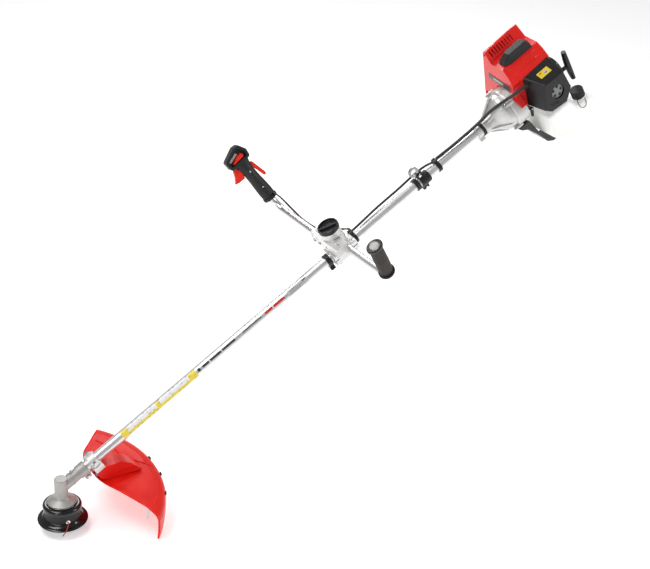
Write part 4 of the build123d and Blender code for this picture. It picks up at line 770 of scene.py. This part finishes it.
# skirt of the engine cover, lapped over the crankcase flange: an arc around the shaft's axis
sections = []
for i in range(13):
    part = i / 12
    a = math.radians(131 + 36 * i / 12)
    front = 1579.0 + 5.0 * part * part
    profile = ((front, 61.3), (front, 63.6), (front + 1.2, 64.4), (1598, 64.4),
               (1604.5, 62.6), (1604.5, 60.6))     # along, radius
    sections.append([at(along, r * math.cos(a), r * math.sin(a)) for along, r in profile])
mesh("cover_skirt", *joined(sections), "red", bevel=0.0006, sharp=30)


def collar(name, start, profile, sides=48):
    """A closed black ring around the drive tube; profile is (along, radius)."""
    n = len(profile)
    verts, faces = [], []
    for s in range(sides):
        a = 2 * math.pi * s / sides
        verts += [at(start + x, r * math.cos(a), r * math.sin(a)) for x, r in profile]
        this, following = s * n, ((s + 1) % sides) * n
        for j in range(n):
            k = (j + 1) % n
            faces.append((this + j, this + k, following + k, following + j))
    return mesh(name, verts, faces, "black", bevel=0.0004, sharp=40)


# outer bands of the hanger clamp
collar("hanger_band_1", 1228.0, [
    (0, 14.1), (0, 17.0), (1.0, 17.9), (5.5, 18.1), (6.2, 17.2), (7.4, 17.2), (8.1, 18.1),
    (12.0, 17.9), (13.0, 17.0), (13.0, 14.1)])
collar("hanger_band_2", 1267.2, [
    (0, 14.1), (0, 17.0), (1.0, 17.9), (10.4, 17.9), (11.4, 17.0), (11.4, 14.1)])

# raised ridges along the top of the engine cover, their ends sunk deeper:
# right at start and end, along at start and end, radius in metres
for i, (right0, right1, along0, along1, radius) in enumerate((
        (25.5, 27.0, 1608, 1712, 0.0030), (-23.5, -22.5, 1608, 1708, 0.0034),
        (-35.5, -35.0, 1614, 1700, 0.0030))):
    points = []
    for j in range(9):
        part = j / 8
        start = at(along0 + (along1 - along0) * part, right0 + (right1 - right0) * part, 170)
        place, normal = first_hit("engine_cover", start, -RISE)
        points.append(place - normal * (radius * 0.45 if 0 < j < 8 else radius * 1.1))
    sweep("cover_ridge_%d" % i, points, radius, "red", sides=16, steps=6)

# ------------------------------------------------------------------ handle cup
for i, (right, along) in enumerate(((52, 944), (38, 946), (-52, 944), (-38, 946))):
    seat_screw("cup_bolt_%d" % i, "handle_cup", at(along, right, 120), -RISE, 3.6, "handlebar")
for i, (right, rise, radius) in enumerate(((56, 36.0, 4.6), (28, 39.5, 4.6), (-6, 41.0, 2.6))):
    screw("cup_front_bolt_%d" % i, *first_hit("handle_cup", at(890, right, rise), SHAFT),
          radius, "ring_steel", "handlebar")

# dark line around the cup's left side, below the knob
SLOT_RADIUS = 27.75
slot = []
for i, degrees in enumerate((-116, -104, -92, -80, -68, -60)):
    a = math.radians(degrees)
    slot.append(at(CLAMP_ALONG + SLOT_RADIUS * math.cos(a), SLOT_RADIUS * math.sin(a),
                   61.3 - 0.4 * i))
sweep("cup_slot", slot, 0.0007, "label_dark", "handlebar", sides=8, steps=6)

# ------------------------------------------------------------------ guard
# the guard's own axes: back, right and up, tilted a little from the world's
GUARD_Z = Vector((0.00657844, -0.15038373, 0.98860581))
GUARD_X = Vector((0.99620194, 0.08682409, 0.00657844))
GUARD_Y = GUARD_Z.cross(GUARD_X)
# radius, height of the guard's roof
ROOF = [(80, 2), (150, 2), (222, -3), (252, -8), (264, -15), (268.5, -24), (270, -60)]


def roof_height(radius):
    for (r0, z0), (r1, z1) in zip(ROOF, ROOF[1:]):
        if radius <= r1:
            return z0 + (z1 - z0) * (radius - r0) / (r1 - r0)


def on_guard(radius, degrees, lift=0.0, height=None):
    a = math.radians(degrees)
    z = (roof_height(radius) if height is None else height) + lift
    return ORIGIN + (GUARD_X * radius * math.cos(a) + GUARD_Y * radius * math.sin(a)
                     + GUARD_Z * z) / 1000


def guard_directions(degrees):
    """Outward and tangent directions at an angle around the guard."""
    a = math.radians(degrees)
    out = (GUARD_X * math.cos(a) + GUARD_Y * math.sin(a)).normalized()
    return out, GUARD_Z.cross(out).normalized()


# lips along the left and right edges, then beads on the roof: name, bar radius, sides, steps,
# and points of radius, degrees, lift off the roof, [height in place of the roof's]
for name, bar_radius, sides, steps, points in [
        ("guard_lip", 0.0023, 12, 8, [
            (101, -12, -1.2), (119, -25.4, -1.2), (145, -33.6, -1.2), (171, -39.0, -1.2),
            (200, -43.4, -1.2), (228, -46.4, -1.5), (246, -49.0, -2.5), (256, -49.8, -4),
            (263, -50.0, 0, -26), (265.5, -50.2, 0, -45), (266, -50.2, 0, -70),
            (265.5, -50.2, 0, -88)]),
        ("guard_lip_far", 0.0021, 12, 8, [
            (100, 11, -1.2), (112, 27.0, -1.2), (146, 37.2, -1.2), (200, 38.2, -1.2),
            (245, 38.8, -1.5), (261, 38.9, 0, -22), (265, 38.9, 0, -50)]),
        ("guard_rib_1", 0.0026, 14, 10, [(137.7, -3.9, 0.4), (167, 0.4, 1.6), (196, 3.5, 0.6)]),
        ("guard_rib_2", 0.0021, 14, 10, [
            (196, 3.5, 0.6), (215, 0.6, 0.4), (232, -3.4, 0.1), (247.7, -7.3, -0.3),
            (257, -9.5, -0.6)]),
        ("guard_rib_3", 0.0019, 14, 10, [
            (196, 3.5, 0.6), (202, 13, 0.2), (204, 24, 0.0), (205, 35, -0.2)]),
        ("guard_band_bead", 0.0015, 12, 6, [
            (244, -49.0 + i * (49.0 + 38.2) / 16, -0.4) for i in range(17)])]:
    sweep(name, [on_guard(*p) for p in points], bar_radius, "guard", sides=sides, steps=steps)

# clips on the rim
for i, degrees in enumerate((1.0, -13.6, -29.5)):
    out, tangent = guard_directions(degrees)
    plate("guard_clip_%d" % i, on_guard(266.2, degrees, 0, -19) + out * 0.0008,
          tangent, out.cross(tangent), (11, 6.5, 2.6), "black", corner=1.4)

# ------------------------------------------------------------------ clamp knob
CLAMP = at(CLAMP_ALONG, 0, 0)
# radius, rise
KNOB_RIM = [(3.0, 80.0), (28.8, 80.0), (30.0, 81.2), (30.0, 89.8), (29.2, 91.2), (27.6, 92.0),
            (26.2, 91.6), (25.6, 90.4), (25.2, 86.2), (24.4, 85.4), (3.0, 85.0)]


def knob_flutes(row, angle, height):
    return 1.0 - (0.012 * (0.5 + 0.5 * math.cos(24 * angle)) if 81 < height < 90 else 0)


rim = mesh("clamp_knob_rim", *joined(turned(CLAMP, RISE, KNOB_RIM, 64, knob_flutes)),
           "black", "clamp_knob", bevel=0.0002)
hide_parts("handle_knob")

# finger bar across the rim
BAR_TURN = math.radians(-27.8)
bar_x = (SHAFT * math.cos(BAR_TURN) + RIGHT * math.sin(BAR_TURN)).normalized()
bar_y = RISE.cross(bar_x)
# sideways, rise
BAR_SECTION = [(-4.6, 84.0), (-3.4, 89.5), (-1.8, 91.4), (1.8, 91.4), (3.4, 89.5), (4.6, 84.0)]
verts = [CLAMP + (bar_x * x + bar_y * y + RISE * z) / 1000
         for x in (-25.8, -20.0, 20.0, 25.8) for y, z in BAR_SECTION]
faces = []
for i in range(3):
    for j in range(6):
        a, b = i * 6 + j, i * 6 + (j + 1) % 6
        faces.append((a, a + 6, b + 6, b))
faces += [tuple(range(0, 6)), tuple(range(23, 17, -1))]
mesh("clamp_knob_bar", verts, faces, "black", "clamp_knob", bevel=0.0007, sharp=20)

KNOB_BOLT = [(0.05, 16.6), (3.9, 16.6), (3.9, 79.5), (0.05, 79.5)]      # radius, rise
bolt_rings = turned(CLAMP, RISE, KNOB_BOLT, 24, lambda row, angle, height: 1.0)
mesh("clamp_knob_bolt", *joined(bolt_rings), "zinc", "clamp_knob")

# ------------------------------------------------------------------ line cutter
# thin hanging blade and its dark holder near the guard's left edge
cutter_out, cutter_tangent = guard_directions(-42.5)


def cutter_place(radius, height, sideways):
    return ORIGIN + (cutter_out * radius + GUARD_Z * height + cutter_tangent * sideways) / 1000


def blade(name, outline, thick, finish, shift=0.0):
    """Flat piece square to the rim; outline is (radius, height) in the guard's axes."""
    n = len(outline)
    verts = [cutter_place(r, z, side + shift)
             for side in (-thick / 2, thick / 2) for r, z in outline]
    faces = [tuple(range(n)), tuple(range(2 * n - 1, n - 1, -1))]
    faces += [(j, n + j, n + (j + 1) % n, (j + 1) % n) for j in range(n)]
    return mesh(name, verts, faces, finish, bevel=0.0003)


cutter = blade("cutter_blade", [
    (224, -14), (238, -14), (238, -22), (231.5, -26), (230.5, -58), (227.5, -64),
    (224.5, -58)], 1.5, "steel")
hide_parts("line_cutter")
blade("cutter_holder", [(236, -10.5), (263, -18), (264, -40), (254, -38), (236, -27)],
      7.0, "black", shift=3.0)
for i, (radius, height) in enumerate(((242, -18), (254, -26))):
    screw("cutter_screw_%d" % i, cutter_place(radius, height, -0.6), -cutter_tangent, 2.2)

# ------------------------------------------------------------------ engine details
# shallow ribs on the air cleaner's left face
for i in range(5):
    f = i / 4
    along0, along1 = 1641 + 7 * f, 1668 + 4 * f
    points = []
    for j in range(7):
        g = j / 6
        start = at(along0 + (along1 - along0) * g, -180, 2 - 11 * f + (-14 - f) * g * 0.6)
        # guards against a ray that misses the cover: that point is left out
        try:
            points.append(first_hit("air_cleaner_cover", start, RIGHT)[0])
        except RuntimeError:
            pass
    if len(points) > 3:
        sweep("cleaner_rib_%d" % i, points, 0.0009, "black", sides=10, steps=4)

sweep("cap_keeper", run_of([
    (1748, -64, -84), (1738, -80, -88), (1738, -86, -100), (1750, -85, -110),
    (1762, -80, -106), (1767, -72, -94)]), 0.0011, "cable", sides=10)

# ------------------------------------------------------------------ stage
FLOOR_GAP = 0.0006
bpy.ops.mesh.primitive_plane_add(size=60, location=(0, 0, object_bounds()[0][2] - FLOOR_GAP))
floor = bpy.context.object
floor.name = "floor"
floor.data.materials.append(floor_finish())

scene = bpy.context.scene


def soft_room():
    """World light that fades from white to a light grey."""
    world = bpy.data.worlds.new("soft_room")
    scene.world = world
    world.use_nodes = True
    nodes, link = world.node_tree.nodes, world.node_tree.links.new
    nodes.clear()
    output = nodes.new("ShaderNodeOutputWorld")
    background = nodes.new("ShaderNodeBackground")
    background.inputs["Strength"].default_value = 0.52
    gradient = nodes.new("ShaderNodeTexGradient")
    coordinates = nodes.new("ShaderNodeTexCoord")
    mapping = nodes.new("ShaderNodeMapping")
    mapping.inputs["Rotation"].default_value = (0, math.radians(-90), 0)
    mapping.inputs["Location"].default_value = (0.4, 0, 0)
    ramp = nodes.new("ShaderNodeValToRGB")
    ramp.color_ramp.elements[0].color = (0.62, 0.62, 0.63, 1)
    ramp.color_ramp.elements[1].color = (1, 1, 1, 1)
    link(coordinates.outputs["Generated"], mapping.inputs[0])
    link(mapping.outputs[0], gradient.inputs[0])
    link(gradient.outputs["Fac"], ramp.inputs[0])
    link(ramp.outputs[0], background.inputs[0])
    link(background.outputs[0], output.inputs[0])


soft_room()

AIM = (0.75, 0, 0.5)
# name, place, target, width, height, watts
for name, place, target, width, height, power in [
        ("key_box", (-1.2, 0.4, 3.8), AIM, 2.6, 1.4, 70),
        ("side_box", (3.1, -1.8, 2.3), AIM, 0.8, 2.0, 34),
        ("rear_strip", (1.6, 3.4, 2.8), AIM, 3.0, 0.7, 48),
        ("left_strip", (-2.6, -1.6, 1.6), AIM, 0.5, 1.8, 16),
        ("cover_streak", (1.40, 1.086, 2.08), (1.366, 0, 1.046), 0.62, 0.045, 4.2)]:
    light = bpy.data.lights.new(name, "AREA")
    light.shape = "RECTANGLE"
    light.size, light.size_y, light.energy = width, height, power
    lamp = bpy.data.objects.new(name, light)
    scene.collection.objects.link(lamp)
    lamp.location = place
    lamp.rotation_euler = (Vector(target) - Vector(place)).to_track_quat("-Z", "Y").to_euler()

scene.view_settings.view_transform = "Standard"
scene.view_settings.look = "None"
scene.view_settings.exposure = 0.0

camera_data = bpy.data.cameras.new("camera")
camera = bpy.data.objects.new("camera", camera_data)
scene.collection.objects.link(camera)
VIEW = Vector((0.48525, 0.74154, -0.46330))
LEVEL_RIGHT = Vector((0.83676, -0.54756, 0))
LEVEL_UP = Vector((0.25369, 0.38767, 0.88620))
ROLL = math.radians(1.885)
camera_right = LEVEL_RIGHT * math.cos(ROLL) + LEVEL_UP * math.sin(ROLL)
camera_up = LEVEL_UP * math.cos(ROLL) - LEVEL_RIGHT * math.sin(ROLL)
pose = Matrix((camera_right, camera_up, -VIEW)).transposed().to_4x4()
pose.translation = Vector((-1.2529, -3.1145, 2.4439))
camera.matrix_world = pose
camera_data.sensor_width = 36
camera_data.lens = 86.63
camera_data.clip_end = 200
scene.camera = camera

note_size()
